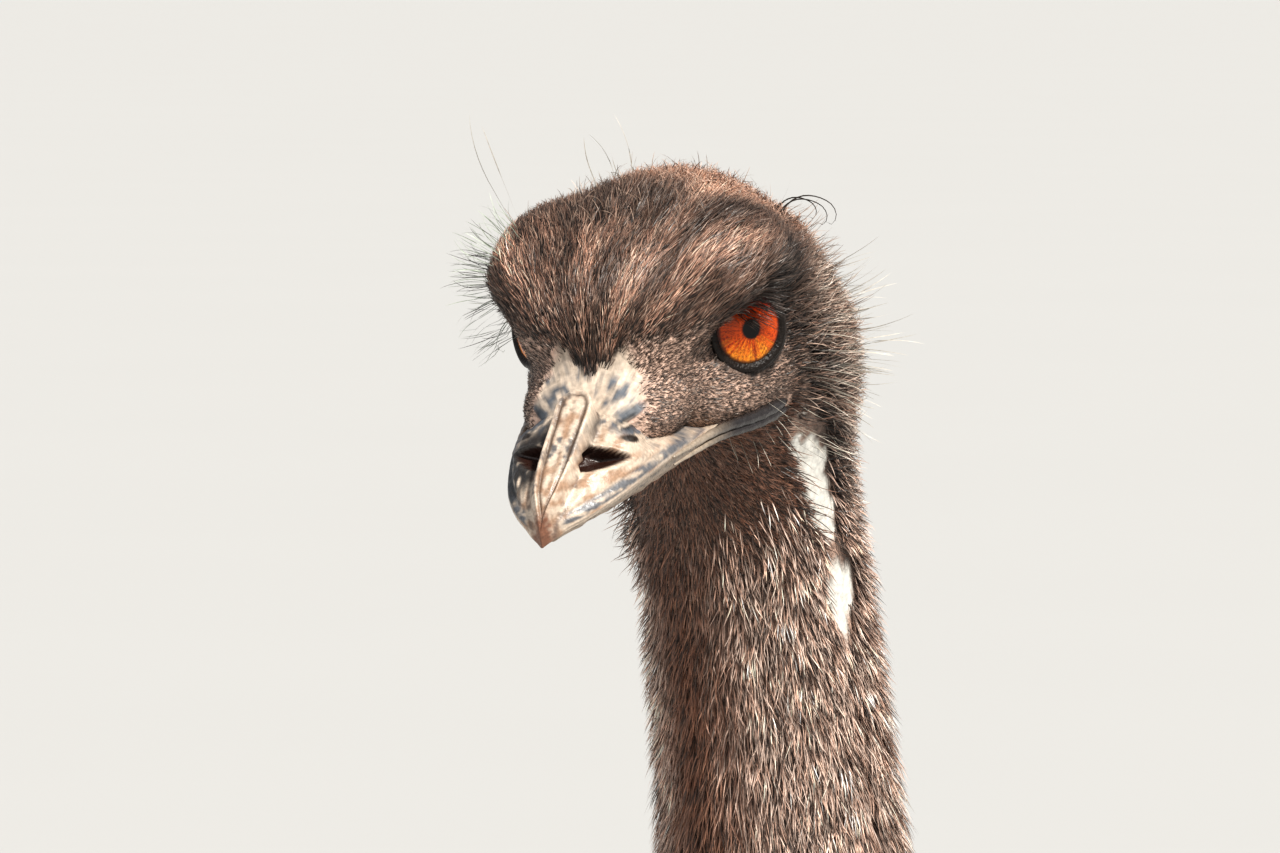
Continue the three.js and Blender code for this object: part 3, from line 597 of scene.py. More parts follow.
class Finish:
    """A node material on Object coordinates, built up a layer at a time."""

    def __init__(self, name, roughness, **sockets):
        self.material = bpy.data.materials.new(name)
        self.material.use_nodes = True
        self.tree = self.material.node_tree
        self.shader = self.tree.nodes["Principled BSDF"]
        self.shader.inputs["Roughness"].default_value = roughness
        for label, value in sockets.items():
            self.shader.inputs[label.replace("_", " ")].default_value = value
        self.place = self.add("ShaderNodeTexCoord").outputs["Object"]
        self.bump = None

    def add(self, kind, **settings):
        node = self.tree.nodes.new(kind)
        for key, value in settings.items():
            setattr(node, key, value)
        return node

    def link(self, source, target):
        self.tree.links.new(source, target)

    def noise(self, scale, detail=4.0, stretch=(1, 1, 1)):
        """A cloudy value of about 1/scale metres across, longer along an axis where stretch is small."""
        mapping = self.add("ShaderNodeMapping")
        mapping.inputs["Scale"].default_value = stretch
        self.link(self.place, mapping.inputs["Vector"])
        node = self.add("ShaderNodeTexNoise")
        node.inputs["Scale"].default_value = scale
        node.inputs["Detail"].default_value = detail
        self.link(mapping.outputs["Vector"], node.inputs["Vector"])
        return node.outputs["Fac"]

    def cells(self, scale, feature="F1"):
        """The distance to the nearest of scattered points, or to the nearest edge between their cells."""
        node = self.add("ShaderNodeTexVoronoi", feature=feature)
        node.inputs["Scale"].default_value = scale
        self.link(self.place, node.inputs["Vector"])
        return node.outputs["Distance"]

    def ramp(self, value, low, high, start=0.0, end=1.0):
        node = self.add("ShaderNodeMapRange")
        for label, number in (("From Min", start), ("From Max", end), ("To Min", low), ("To Max", high)):
            node.inputs[label].default_value = number
        self.link(value, node.inputs["Value"])
        return node.outputs["Result"]

    def colour(self, value, low=0.75, high=1.25, base=None):
        """The painted or given colour, made darker or lighter by a value."""
        if base is None:
            source = self.add("ShaderNodeAttribute", attribute_name="tint").outputs["Color"]
        else:
            source = base
        scale = self.add("ShaderNodeVectorMath", operation="SCALE")
        self.link(source, scale.inputs[0])
        self.link(self.ramp(value, low, high, 0.25, 0.75), scale.inputs["Scale"])
        self.link(scale.outputs["Vector"], self.shader.inputs["Base Color"])

    def blend_colours(self, value, first, second, start=0.4, end=0.6):
        """One colour passing into another as a value grows."""
        node = self.add("ShaderNodeMix", data_type="RGBA")
        self.link(self.ramp(value, 0, 1, start, end), node.inputs["Factor"])
        for label, colour in (("A", first), ("B", second)):
            socket = [s for s in node.inputs if s.name == label and s.type == "RGBA"][0]
            socket.default_value = (*colour, 1)
        return [s for s in node.outputs if s.type == "RGBA"][0]

    def where(self, attribute, value):
        """The value times an attribute of the mesh."""
        node = self.add("ShaderNodeMath", operation="MULTIPLY")
        self.link(self.add("ShaderNodeAttribute", attribute_name=attribute).outputs["Fac"], node.inputs[0])
        self.link(value, node.inputs[1])
        return node.outputs["Value"]

    def rough(self, value, low, high):
        self.link(self.ramp(value, low, high, 0.3, 0.7), self.shader.inputs["Roughness"])

    def raise_by(self, value, distance, strength=1.0):
        """Adds a bump of a given height in metres."""
        node = self.add("ShaderNodeBump")
        node.inputs["Distance"].default_value = distance
        node.inputs["Strength"].default_value = strength
        self.link(value, node.inputs["Height"])
        if self.bump is not None:
            self.link(self.bump, node.inputs["Normal"])
        self.bump = node.outputs["Normal"]
        self.link(self.bump, self.shader.inputs["Normal"])


def skin_finish():
    finish = Finish("bird_skin", 0.55, Specular_IOR_Level=0.5)
    finish.colour(finish.noise(700, 6), 0.75, 1.25)
    finish.raise_by(finish.where("coarse", finish.cells(950)), 0.0005, 0.9)
    finish.raise_by(finish.where("coarse", finish.noise(420, 8)), 0.0008, 0.8)
    finish.raise_by(finish.noise(900, 4, (1.0, 0.35, 0.7)), 0.0003, 0.5)
    finish.rough(finish.noise(500), 0.42, 0.68)
    return finish.material


def feather_finish(name, roughness, scale):
    finish = Finish(name, roughness, Specular_IOR_Level=0.5)
    finish.colour(finish.noise(scale, 3), 0.7, 1.3)
    finish.raise_by(finish.noise(scale * 2, 2), 0.0002, 0.5)
    finish.rough(finish.noise(scale * 0.5, 2), roughness - 0.08, roughness + 0.12)
    return finish.material


# Skin. Rings stand across a line from rump to bill.

BEND_RADIUS = 42


def bend(before, way_in, after, way_out, count):
    """Points on the arc that touches two lines, seen from the side: its middle lies before the throat.

    The arc starts and ends the radius times the tangent of half the turn away from where the lines cross."""
    in_plane = np.stack([way_in[1:], -way_out[1:]], 1)
    corner = before + np.linalg.solve(in_plane, after[1:] - before[1:])[0] * way_in
    way_in, way_out = (unit(np.array([0, *way[1:]])) for way in (way_in, way_out))
    half = math.acos(way_in @ way_out) / 2
    start = corner - BEND_RADIUS * math.tan(half) * way_in
    middle = corner + unit(way_out - way_in) * BEND_RADIUS / math.cos(half)
    points = [middle + turn_x(angle) @ (start - middle) for angle in np.linspace(0, 2 * half, count)]
    points = np.array(points)
    points[:, 0] = np.linspace(before[0], after[0], count)
    return points


SKIN_LINE = Line(
    [
        (0, 352, TORSO_Z - 30),
        (0, 200, TORSO_Z - 4),
        (0, 40, TORSO_Z + 4),
        (0, -110, TORSO_Z + 6),
        *neck_line.at(np.array([0.056, 0.16, 0.26, 0.36, 0.46, 0.56, 0.66, 0.76, 0.86])),
        *bend(
            neck_line.at(0.93),
            neck_line.at(1.0) - neck_line.at(0.93),
            on_head((0, 0, -9)),
            on_head((0, -1, -9)) - on_head((0, 0, -9)),
            7,
        ),
        on_head((0, -14, -9)),
        on_head((0, -25, -9)),
        on_head((0, -36, -9)),
    ]
)
SKIN_AROUND = 176


def ray_reach(origins):
    """How far a ray may run from the skin's line: far in the torso, short of other parts in neck and head."""
    return mix(420, 78, smooth(960, 1150, origins[..., 2]))


def skin_shares():
    """Shares of the skin's line for its rings: steps of 12 mm on the body, 6 on the neck, 1.3 on the face."""
    at = SKIN_LINE.at(np.linspace(0, 1, 400))
    q = to_head(at)
    step = mix(6.0, 1.3, smooth(135, 50, np.linalg.norm(q, axis=-1)))
    step = mix(step, 12.0, smooth(1250, 980, at[:, 2]))
    reach = np.concatenate([[0], np.cumsum(2 / (step[1:] + step[:-1])) * SKIN_LINE.length / 399])
    rows = int(reach[-1])
    return np.interp(np.linspace(0, reach[-1], rows), reach, np.linspace(0, 1, 400))


def in_patch(q):
    """1 on the bare soft skin that rises in a wedge beside the bill's ridge, 0 off it, with a ragged edge."""
    x, y, z = np.abs(q[..., 0]), q[..., 1], q[..., 2]
    inner = 4.2 + 0.8 * x - z
    outer = 9.2 + 0.48 * (11.4 - z) - x
    low = np.where(z < -2.8, -42.5 + 2.5 * (z + 2.8) - y, 9)
    edge = np.min([inner, outer, low, -20 - y], axis=0)
    return smooth(-0.7, 0.7, edge + 0.6 * ripple(q, 3, 3))


def face_share(q):
    """1 on the lores and cheeks, which carry only short bristles, 0 on the crown and nape."""
    below = smooth(4.5, -3.5, over_lores(q) + 1.5 * ripple(q, 5, 6))
    return below * smooth(29, 5, q[..., 1] + 0.25 * q[..., 2] + 2 * ripple(q, 6, 7))


def over_lores(q):
    """The height over the line where the lores' bristles pass into the forehead's feathers."""
    limit = np.interp(q[..., 1], [-60, -18, -6, 10, 30], [12, 12, 7, 1, -7])
    return q[..., 2] - limit + 9 * smooth(10, 4, np.abs(q[..., 0]))


def neck_bare(p):
    """1 on the bare white blotches down each side of the neck, with a narrow waist half way."""
    z = p[..., 2] - EYE_HEIGHT
    out = p - neck_middle(p)
    angle = np.degrees(np.arctan2(np.abs(out[..., 0]), -out[..., 1]))
    waist = 1 - 1.1 * hump(z, -60, 4.0)
    half = 13.0 * waist * smooth(-88, -78, z) * smooth(-24, -33, z)
    ragged = 5.0 * ripple(p, 13, 8) + 4.5 * ripple(p, 6, 9)
    middle = 73 + 5 * smooth(-52, -66, z)
    return smooth(-1.6, 1.6, half - np.abs(angle - middle) + ragged - 2.0)


def chosen(*names):
    """Colours as the add-on's settings have them."""
    colours = bpy.context.scene.emu_colours
    return [np.array(getattr(colours, name)[:]) for name in names]


def skin_colours(p):
    """Skin colours by place: dark under the coat, pinkish beige on the face, pale on bare wedges and neck."""
    q = to_head(p)
    dark, face, bare = chosen("hidden_skin", "face_skin", "bare_neck")
    grain = column(0.5 + 0.5 * ripple(q, 3.0, 21))
    paint = np.broadcast_to(dark, p.shape) * (0.8 + 0.4 * grain)
    on_face = column(face_share(q) * smooth(70, 50, q[..., 1]))
    lines = column(smooth(0.15, 0.7, ripple(q * np.array([1, 0.6, 1]), 1.5, 22)))
    paint = mix(paint, face * (0.7 + 0.45 * grain) * (1 - 0.55 * lines), on_face)
    for side in SIDES:
        near = np.linalg.norm(q - eye_centre(side), axis=-1)
        paint = mix(paint, dark * 0.8, column(smooth(18.5, 15.0, near + 1.2 * ripple(q, 4, 5))))
    patch = column(in_patch(q))
    paint = mix(paint, patch_colours(q), patch)
    return mix(paint, bare * (0.9 + 0.1 * grain), column(neck_bare(p) * (p[..., 2] < EYE_HEIGHT - 15)))


def patch_colours(q):
    """The bill's soft base: cream, with clouds of blue grey that gather at its outer lower corner."""
    cream, slate = chosen("bill_cream", "bill_slate")
    x, y, z = np.abs(q[..., 0]), q[..., 1], q[..., 2]
    streak = ripple(q * np.array([1.6, 0.6, 1.0]), 6, 31) + 0.5 * ripple(q, 2.2, 32)
    over = z + 5.2 - 0.3 * (x - 13.5)
    corner = np.exp(-(((x - 13.5) / 5.6) ** 2) - ((y + 48) / 7) ** 2 - (over / 3.5) ** 2)
    over = z - 2.6 + 0.9 * (x - 7.5)
    rise = np.exp(-(((x - 7.5) / 4.2) ** 2) - ((y + 44.5) / 6) ** 2 - (over / 2.3) ** 2)
    cloud = smooth(0.1, 0.95, 1.5 * corner + 1.0 * rise + 0.7 * streak)
    fine = column(0.85 + 0.2 * ripple(q, 1.6, 33))
    depth = column(smooth(-1, 1, streak) - 0.75 * smooth(0.5, 1.0, corner))
    paint = mix(cream * fine, slate * np.maximum(0.5 + 0.9 * depth, 0.16), column(cloud))
    # Painted shade: the slit behind the nostril is painted near black.
    return mix(paint, slate * 0.06, column(smooth(0.3, 0.6, slit_shade_share(q))))


def make_skin():
    """The skin: rays across the line from rump to bill stop at the skin's form; the thighs are joined on."""
    surface = ray_tube(SKIN_LINE, skin_shares(), SKIN_AROUND, skin_form, ray_reach, caps=(9, 9))
    finish = skin_finish()
    points = surface.points()
    body_nodes = ["head", "torso", "neck_lower", "neck_middle", "neck_upper", "tail"]
    body_nodes += [f"{part}_{leg.name}" for part in ("thigh", "wing") for leg in legs]
    coarse = 1 - np.maximum(in_patch(to_head(points)), neck_bare(points))
    skin = new_piece(
        "skin",
        points,
        surface.faces(),
        finish,
        body_nodes,
        skin_colours(points),
        surface.places(),
        {"coarse": coarse},
    )
    for leg in legs:
        tube = thigh_surface(leg)
        points = tube.points()
        paint = skin_colours(points)
        shell = new_piece("thigh_shell", points, tube.faces(), finish, (), paint, tube.places())
        union = skin.modifiers.new("union", "BOOLEAN")
        union.operation, union.solver, union.object = "UNION", "MANIFOLD", shell
        settle(skin)
        bpy.data.objects.remove(shell)
    return surface


def thigh_surface(leg):
    """The thigh's skin: where rays across its line come within the coat's depth of its form."""

    def form(p):
        return leg.thigh_form(p) + BODY_COAT_DEPTH

    return ray_tube(leg.thigh_line, np.linspace(0, 1, 40), 48, form, 200, caps=(5, 5))


# Coats. Feathers are thin tapering ribbons that leave their roots and follow the body.


def scatter(surface, weight, count, seed):
    """Roots over a surface: each face has them by its area times its weight, scattered within it."""
    rng = np.random.default_rng(seed)
    p = surface.rings
    q = np.roll(p, -1, axis=1)
    a, b, c, d = p[:-1], q[:-1], q[1:], p[1:]
    area = np.linalg.norm(np.cross(c - a, d - b), axis=-1) / 2
    chance = (area * weight((a + b + c + d) / 4)).ravel()
    total = np.cumsum(chance)
    pick = np.searchsorted(total, (np.arange(count) + rng.random(count)) / count * total[-1])
    row, place = np.unravel_index(np.minimum(pick, chance.size - 1), area.shape)
    s, t = rng.random((2, count))
    s3, t3 = column(s), column(t)
    roots = mix(mix(a[row, place], b[row, place], t3), mix(d[row, place], c[row, place], t3), s3)
    uv = np.stack([(row + s) / (p.shape[0] - 1), (place + t) / p.shape[1]], -1)
    return roots, uv


def drape(form, roots, lie, length, steps, lift, droop=0.0, rise=0.25, curl=0.0, hold=0.35, seed=0):
    """Paths of feathers: each leaves its root, keeps its heading, sinks by its droop and is held at its lift.

    At each step the heading gains droop downwards and a random curl, the point moves on by length / steps,
    and it is pushed out to the lift over the form, or drawn part of the way back where it stands off."""
    rng = np.random.default_rng(seed + 1)
    outs = normal_of(form, roots)
    lie = unit(lie - column(dot(lie, outs)) * outs)
    heading = unit(lie + column(rise) * outs)
    at, path, normals = roots, [roots], [outs]
    step = column(length / steps)
    bend = unit(rng.normal(size=roots.shape)) * column(curl)
    for i in range(steps):
        heading = unit(heading - column(droop) * UP + bend)
        at = at + heading * step
        share = (i + 1) / steps
        height = form(at)
        out = normal_of(form, at)
        target = lift * mix(0.55, 1.15, share)
        push = np.maximum(target - height, 0)
        pull = np.minimum(np.maximum(height - target, 0) * hold, 0.45 * step[..., 0])
        at = at + out * column(push - pull)
        heading = unit(at - path[-1])
        path.append(at)
        normals.append(out)
    return np.stack(path, 1), np.stack(normals, 1)


def ribbons(path, outs, width, taper, roll):
    """Flat strips along paths: two edges at every step but the last, where they meet in a tip.

    An edge stands off the path by half the width times the taper, across the path and rolled about it."""
    count, steps = path.shape[0], path.shape[1] - 1
    along = unit(np.diff(path, axis=1, append=2 * path[:, -1:] - path[:, -2:-1]))
    across = unit(np.cross(along, outs))
    out = np.cross(across, along)
    roll = column(column(roll))
    edge = (across * np.cos(roll) + out * np.sin(roll)) * column(column(width) * taper / 2)
    sides = np.stack([path - edge, path + edge], 2)[:, :-1]
    points = np.concatenate([sides.reshape(count, -1, 3), path[:, -1:]], 1)
    faces = []
    for i in range(steps - 1):
        a, b, c, d = 2 * i, 2 * i + 1, 2 * i + 3, 2 * i + 2
        faces += [(a, b, c), (a, c, d)]
    faces.append((2 * steps - 2, 2 * steps - 1, 2 * steps))
    faces = np.array(faces) + (np.arange(count) * (2 * steps + 1))[:, None, None]
    shares = np.concatenate([np.repeat(np.arange(steps), 2), [steps]]) / steps
    return points, faces.reshape(-1, 3), shares


def bunch(path, outs, strands, spread, splay, wander, seed):
    """Each path as several strands: they part by the spread, fan out by the splay, and wander a little."""
    rng = np.random.default_rng(seed + 2)
    count, steps = path.shape[0], path.shape[1]
    along = unit(np.gradient(path, axis=1))
    across = unit(np.cross(along, outs))
    share = np.linspace(0, 1, steps)[None, None, :, None]
    place = np.linspace(-1, 1, strands)[None, :, None, None] + rng.normal(0, 0.15, (count, strands, 1, 1))
    depth = rng.uniform(-1, 1, (count, strands, 1, 1))
    width = spread * (0.25 + 0.75 * np.sin(np.pi * np.minimum(share * 0.8 + 0.08, 1)) + splay * share**2)
    made = path[:, None] + across[:, None] * place * width + outs[:, None] * depth * wander * share
    reach = rng.uniform(0.72, 1.0, (count, strands, 1, 1))
    made = path[:, None, :1] + (made - path[:, None, :1]) * mix(1.0, reach, share)
    outs = np.repeat(outs[:, None], strands, 1)
    return made.reshape(-1, steps, 3), outs.reshape(-1, steps, 3)


HAIR_TAPER = [0.8, 1.0, 0.85, 0.6, 0.35]
PATCH_SIZE = 0.003


def coat_piece(name, path, outs, width, uv, root, tip, finish, turn=(0.25, 0.95), roll=0.5, seed=0):
    """Feathers as one mesh, coloured from root to tip, each with a small patch of the unwrap at its root.

    Where roots are darker than tips, the dark roots are partly painted shade between the feathers and the
    light tips partly a painted glint of light, over the feathers' own colours.
    """
    rng = np.random.default_rng(seed + 3)
    count, steps = path.shape[0], path.shape[1] - 1
    taper = np.interp(np.linspace(0, 1, steps + 1), np.linspace(0, 1, len(HAIR_TAPER)), HAIR_TAPER)
    points, faces, shares = ribbons(path, outs, width, taper, rng.normal(0, roll, count))
    shift = rng.uniform(-0.12, 0.12, (count, 1))
    # Partly painted light: darker low down for the shade between the feathers, lighter at the tips for
    # glints.
    tint = column(smooth(turn[0], turn[1], shares[None] + shift))
    paint = mix(root[:, None], tip[:, None], tint)
    low, high = uv.min(0), uv.max(0)
    corner = 0.004 + 0.99 * (uv - low) / np.maximum(high - low, 1e-6)
    edge = np.concatenate([np.tile([0.0, 1.0], steps), [0.5]]) * PATCH_SIZE
    places = corner[:, None] + np.stack([shares * PATCH_SIZE, edge], -1)[None]
    paint, places = paint.reshape(-1, 3), places.reshape(-1, 2)
    return new_piece(name, points.reshape(-1, 3), [faces], finish, (), paint, places)


def shades(count, pairs, seed, spread=0.15):
    """A colour for each feather: one of several, by chance, made a little lighter or darker."""
    rng = np.random.default_rng(seed + 4)
    chances = np.array([p for p, _ in pairs], float)
    tones = np.array([c for _, c in pairs], float)
    pick = rng.choice(len(pairs), count, p=chances / chances.sum())
    return tones[pick] * np.exp(rng.normal(0, spread, (count, 1)))


def density(count):
    """How many feathers are made of so many: the user's share of them."""
    share = bpy.context.scene.emu_sizes.feather_share
    return int(count * share * (1.0))


FLOW_SOURCE = np.array([0.0, -45.0, -5.0])


def head_lie(q):
    """The coat's direction on the head: away from a point in the bill's base, and back and down behind."""
    away = unit(q - FLOW_SOURCE)
    back = np.array([0, 0.8, -0.55])
    return unit(mix(away, back, column(smooth(30, 62, q[..., 1]))))


def clear_of_eyes(q):
    """0 within the opening between the lids, 1 outside it."""
    return opening(q, 62, 16.5)


def opening(q, degrees, reach):
    """0 within an angle of an eye's look and within a reach of its centre, 1 elsewhere."""
    clear = np.ones(q.shape[:-1])
    for side in SIDES:
        ahead = unit(q - eye_centre(side)) @ eye_look(side)
        near = np.linalg.norm(q - eye_centre(side), axis=-1)
        clear = clear * np.where((ahead > math.cos(math.radians(degrees))) & (near < reach), 0, 1)
    return clear


def past_eyes(q, steps=(3, 6, 9)):
    """0 where a feather that follows the coat lies across an eye, one of these steps on, 1 elsewhere."""
    way = head_lie(q)
    return np.prod([opening(q + step * way, 47, 22) for step in steps], axis=0)


def brow(q):
    """1 over the band above each eye, where the coat is darkest."""
    out = np.abs(q[..., 0])
    rise = np.exp(-(((q[..., 2] - 14 - 0.1 * q[..., 1]) / 7.5) ** 2) - ((q[..., 1] - 2) / 24) ** 2)
    return rise * smooth(15, 24, out)


def head_tips(q, count, seed):
    """Tip colours over the head: tan, nearly black over the eyes, pale behind them, warm at the back."""
    tan = shades(count, TAN_TIPS, seed, 0.25)
    warm = shades(count, WARM_TIPS, seed + 1, 0.25)
    pale = shades(count, PALE_TIPS, seed + 2)
    dark = shades(count, DARK_TIPS, seed + 3)
    down = smooth(34, 22, np.linalg.norm(q - DOWN_MIDDLE, axis=-1))
    behind = smooth(12, 24, q[:, 1]) * smooth(16, 4, q[:, 2])
    top = smooth(-14, 2, q[:, 1]) * smooth(16, 23, q[:, 2]) * (1 - down)
    paint = mix(tan, dark, column(0.6 * top))
    paint = mix(paint, warm, column(down))
    paint = mix(paint, pale, column(behind))
    # Under the jaw, darker warm brown tips: painted shade under the jaw.
    throat = smooth(-24, -36, q[:, 2]) * smooth(38, 20, q[:, 1])
    paint = mix(paint, shades(count, THROAT_SHADE_TIPS, seed + 5), column(throat))
    paint = mix(paint, dark, column(np.clip(1.25 * brow(q), 0, 1)))
    return paint * column(np.exp(0.75 * streaks(q)))


# Colours of feather tips, each after its part in the mix.
TAN_TIPS = [
    (4, (0.27, 0.145, 0.10)),
    (4, (0.44, 0.26, 0.185)),
    (2, (0.68, 0.48, 0.37)),
    (4, (0.035, 0.023, 0.018)),
]
WARM_TIPS = [(3, (0.50, 0.27, 0.18)), (3, (0.70, 0.47, 0.36)), (1, (0.12, 0.065, 0.045))]
PALE_TIPS = [(4, (0.46, 0.31, 0.24)), (3, (0.78, 0.64, 0.54)), (3, (0.06, 0.04, 0.03))]
# Tips under the jaw and chin: painted shade, in warm browns.
THROAT_SHADE_TIPS = [(4, (0.28, 0.125, 0.075)), (3, (0.42, 0.22, 0.145)), (3, (0.05, 0.028, 0.02))]
DARK_TIPS = [(6, (0.018, 0.013, 0.011)), (2, (0.10, 0.072, 0.058))]
DOWN_MIDDLE = np.array([11.4, 43.0, 24.7])


def streaks(q):
    """Lighter and darker streaks that run with the coat, out from the bill's base."""
    away = unit(q - FLOW_SOURCE)
    return ripple(away * np.array([1.0, 0.25, 0.25]), 0.16, 45) * smooth(30, 10, q[..., 1])


def neck_zone(p):
    """1 on the head, falling to 0 where the neck's own coat begins."""
    q = to_head(p)
    return smooth(98, 54, np.linalg.norm(q - np.array([0, 8, 0]), axis=-1))


def head_weight(where):
    """Where a coat stands on the head: a share by place, with none on the eyes or on bare skin."""

    def weight(p):
        q = to_head(p)
        return where(q) * clear_of_eyes(q) * neck_zone(p) * (1 - bald(q)) * (1 - over_bare(p))

    return weight


def make_face_bristles(surface, finish):
    """Bristles on lores and cheeks, 1 to 2.4 mm long, and longer under the chin."""
    count = density(27000)
    roots, uv = scatter(surface, head_weight(face_share), count, 11)
    q = to_head(roots)
    rng = np.random.default_rng(12)
    chin = smooth(-20, -30, q[:, 2]) * smooth(-40, 0, q[:, 1])
    length = rng.uniform(1.0, 2.4, count) + 3.0 * chin
    lie = head_lie(q) @ HEAD_AXES.T + rng.normal(0, 0.25, (count, 3))
    path, outs = drape(coat_form, roots, lie, length, 2, rng.uniform(0.1, 0.5, count), seed=13)
    root = shades(count, [(3, (0.03, 0.02, 0.015)), (1, (0.09, 0.055, 0.04))], 14)
    tip = shades(count, [(7, (0.035, 0.022, 0.017)), (3, (0.44, 0.30, 0.23)), (1, (0.70, 0.58, 0.50))], 15)
    # Under the chin the tips turn darker warm brown: painted shade under the jaw.
    tip = mix(tip, shades(count, THROAT_SHADE_TIPS, 17), column(smooth(-18, -27, q[:, 2])))
    width = mix(0.2, 0.3, chin)
    coat_piece("face_bristles", path, outs, width, uv, root, tip, finish, seed=16)


def make_forehead_feathers(surface, finish):
    """Fine feathers from the bill's base up over the forehead, longer and looser to the back."""

    def weight(p):
        q = to_head(p)
        front = head_weight(lambda r: (1 - face_share(r)) * smooth(34, 12, r[..., 1]))
        return front(p) * mix(0.04, 1, past_eyes(q))

    count = density(38000)
    roots, uv = scatter(surface, weight, count, 21)
    q = to_head(roots)
    rng = np.random.default_rng(22)
    length = mix(6.5, 12.0, smooth(-40, 0, q[:, 1])) * rng.uniform(0.7, 1.25, count)
    length = length * mix(0.35, 1.0, smooth(-3, 9, over_lores(q)))
    length = length * mix(0.5, 1.0, past_eyes(q, (6, 9, 12, 15)))
    lift = rng.uniform(0.2, 1.0, count) * mix(0.8, 3.0, smooth(-22, 14, q[:, 1]))
    lift = lift * mix(0.5, 1, smooth(-3, 8, over_lores(q)))
    lie = head_lie(q) @ HEAD_AXES.T + rng.normal(0, 0.1, (count, 3)) + 0.14 * waves(q)
    path, outs = drape(coat_form, roots, lie, length, 3, lift, rise=0.2, curl=0.08, hold=0.3, seed=23)
    root = shades(count, [(3, (0.014, 0.01, 0.008)), (1, (0.06, 0.036, 0.027))], 24)
    tip = head_tips(q, count, 25)
    width = np.full(count, 0.24)
    coat_piece("forehead_feathers", path, outs, width, uv, root, tip, finish, seed=26)


def make_crown_feathers(surface, finish):
    """Feathers on the crown's back and sides: straight and long low down, shorter and curled on top."""
    count = density(28000)
    weight = head_weight(lambda q: (1 - face_share(q)) * smooth(6, 22, q[..., 1]))
    roots, uv = scatter(surface, weight, count, 31)
    q = to_head(roots)
    rng = np.random.default_rng(32)
    fluff = smooth(12, 26, q[:, 2])
    length = mix(13.0, 8.0, fluff) * rng.uniform(0.65, 1.2, count)
    lift = rng.uniform(0.2, 1.0, count) * mix(4.0, 2.6, fluff)
    curl = mix(0.12, 0.42, fluff)
    lie = head_lie(q) @ HEAD_AXES.T + rng.normal(0, 0.18, (count, 3)) + 0.18 * waves(q)
    path, outs = drape(coat_form, roots, lie, length, 4, lift, rise=0.3, curl=curl, hold=0.25, seed=33)
    root = shades(count, [(3, (0.018, 0.012, 0.01)), (1, (0.09, 0.056, 0.042))], 34)
    tip = head_tips(q, count, 35)
    width = np.full(count, 0.27)
    coat_piece("crown_feathers", path, outs, width, uv, root, tip, finish, seed=36)


def make_crown_down(surface, finish):
    """Warm curly down at the back of the crown."""
    count = density(4200)
    weight = head_weight(lambda q: smooth(26, 12, np.linalg.norm(q - DOWN_MIDDLE, axis=-1)))
    roots, uv = scatter(surface, weight, count, 41)
    rng = np.random.default_rng(42)
    lie = head_lie(to_head(roots)) @ HEAD_AXES.T + rng.normal(0, 0.6, (count, 3))
    lift = rng.uniform(0.5, 3.6, count)
    length = rng.uniform(5, 9.5, count)
    path, outs = drape(coat_form, roots, lie, length, 5, lift, rise=0.6, curl=0.5, hold=0.2, seed=43)
    root = shades(count, [(1, (0.10, 0.06, 0.045)), (1, (0.22, 0.12, 0.085))], 44)
    tip = shades(count, WARM_TIPS, 45)
    width = np.full(count, 0.22)
    coat_piece("crown_down", path, outs, width, uv, root, tip, finish, seed=46)


def make_head_coat(surface):
    """The head's coats, from the face to the back of the crown."""
    finish = feather_finish("head_feathers", 0.42, 900)
    for make in (make_face_bristles, make_forehead_feathers, make_crown_feathers, make_crown_down):
        make(surface, finish)


# Single hairs: how many, where from, how far round, the way they go, length, lift, curl, width and colour.
PALE_HAIR = (0.72, 0.66, 0.56)
GREEN_HAIR = (0.55, 0.62, 0.50)
HAIRS = [
    (1, (-32.2, 2.3, 25.6), 0.3, (-0.1, 0.25, 1.0), 19, 30, 0.03, 0.3, PALE_HAIR),
    (1, (-30.7, 4.6, 26.5), 0.3, (0.1, 0.15, 1.0), 23, 30, 0.09, 0.3, PALE_HAIR),
    (2, (-15, 30, 27.6), 1.5, (-0.3, 0.1, 1.0), 9, 20, 0.12, 0.26, PALE_HAIR),
    (2, (-13.3, 35.3, 27), 1.5, (0.6, 0.2, 1.0), 14, 20, 0.1, 0.26, PALE_HAIR),
    (70, (-33, -4, 21), 8.0, (-1.0, 0.3, 0.6), 10, 12, 0.16, 0.2, GREEN_HAIR),
    (50, (-33, -1, 15), 8.0, (-1.0, 0.3, 0.1), 10, 11, 0.14, 0.18, (0.03, 0.022, 0.018)),
    (150, (34, 36, 0), 20.0, (0.7, 0.9, -0.1), 10, 8, 0.1, 0.2, (0.30, 0.21, 0.165)),
    (60, (34, 36, -14), 17.0, (0.8, 0.85, -0.15), 16, 14, 0.06, 0.2, PALE_HAIR),
    (30, (33, 32, -34), 14.0, (0.6, 0.5, -0.7), 11, 10, 0.08, 0.18, PALE_HAIR),
    (14, (31, 8, -31), 9.0, (0.2, 0.3, -1.0), 7, 6, 0.08, 0.16, PALE_HAIR),
    (10, (22, -10, 17), 5.0, (0.5, 0.8, -0.2), 7, 2.0, 0.05, 0.15, PALE_HAIR),
    (220, (0, 22, 22), 34.0, (0.0, 0.9, 0.6), 7, 6, 0.25, 0.2, (0.42, 0.30, 0.23)),
]


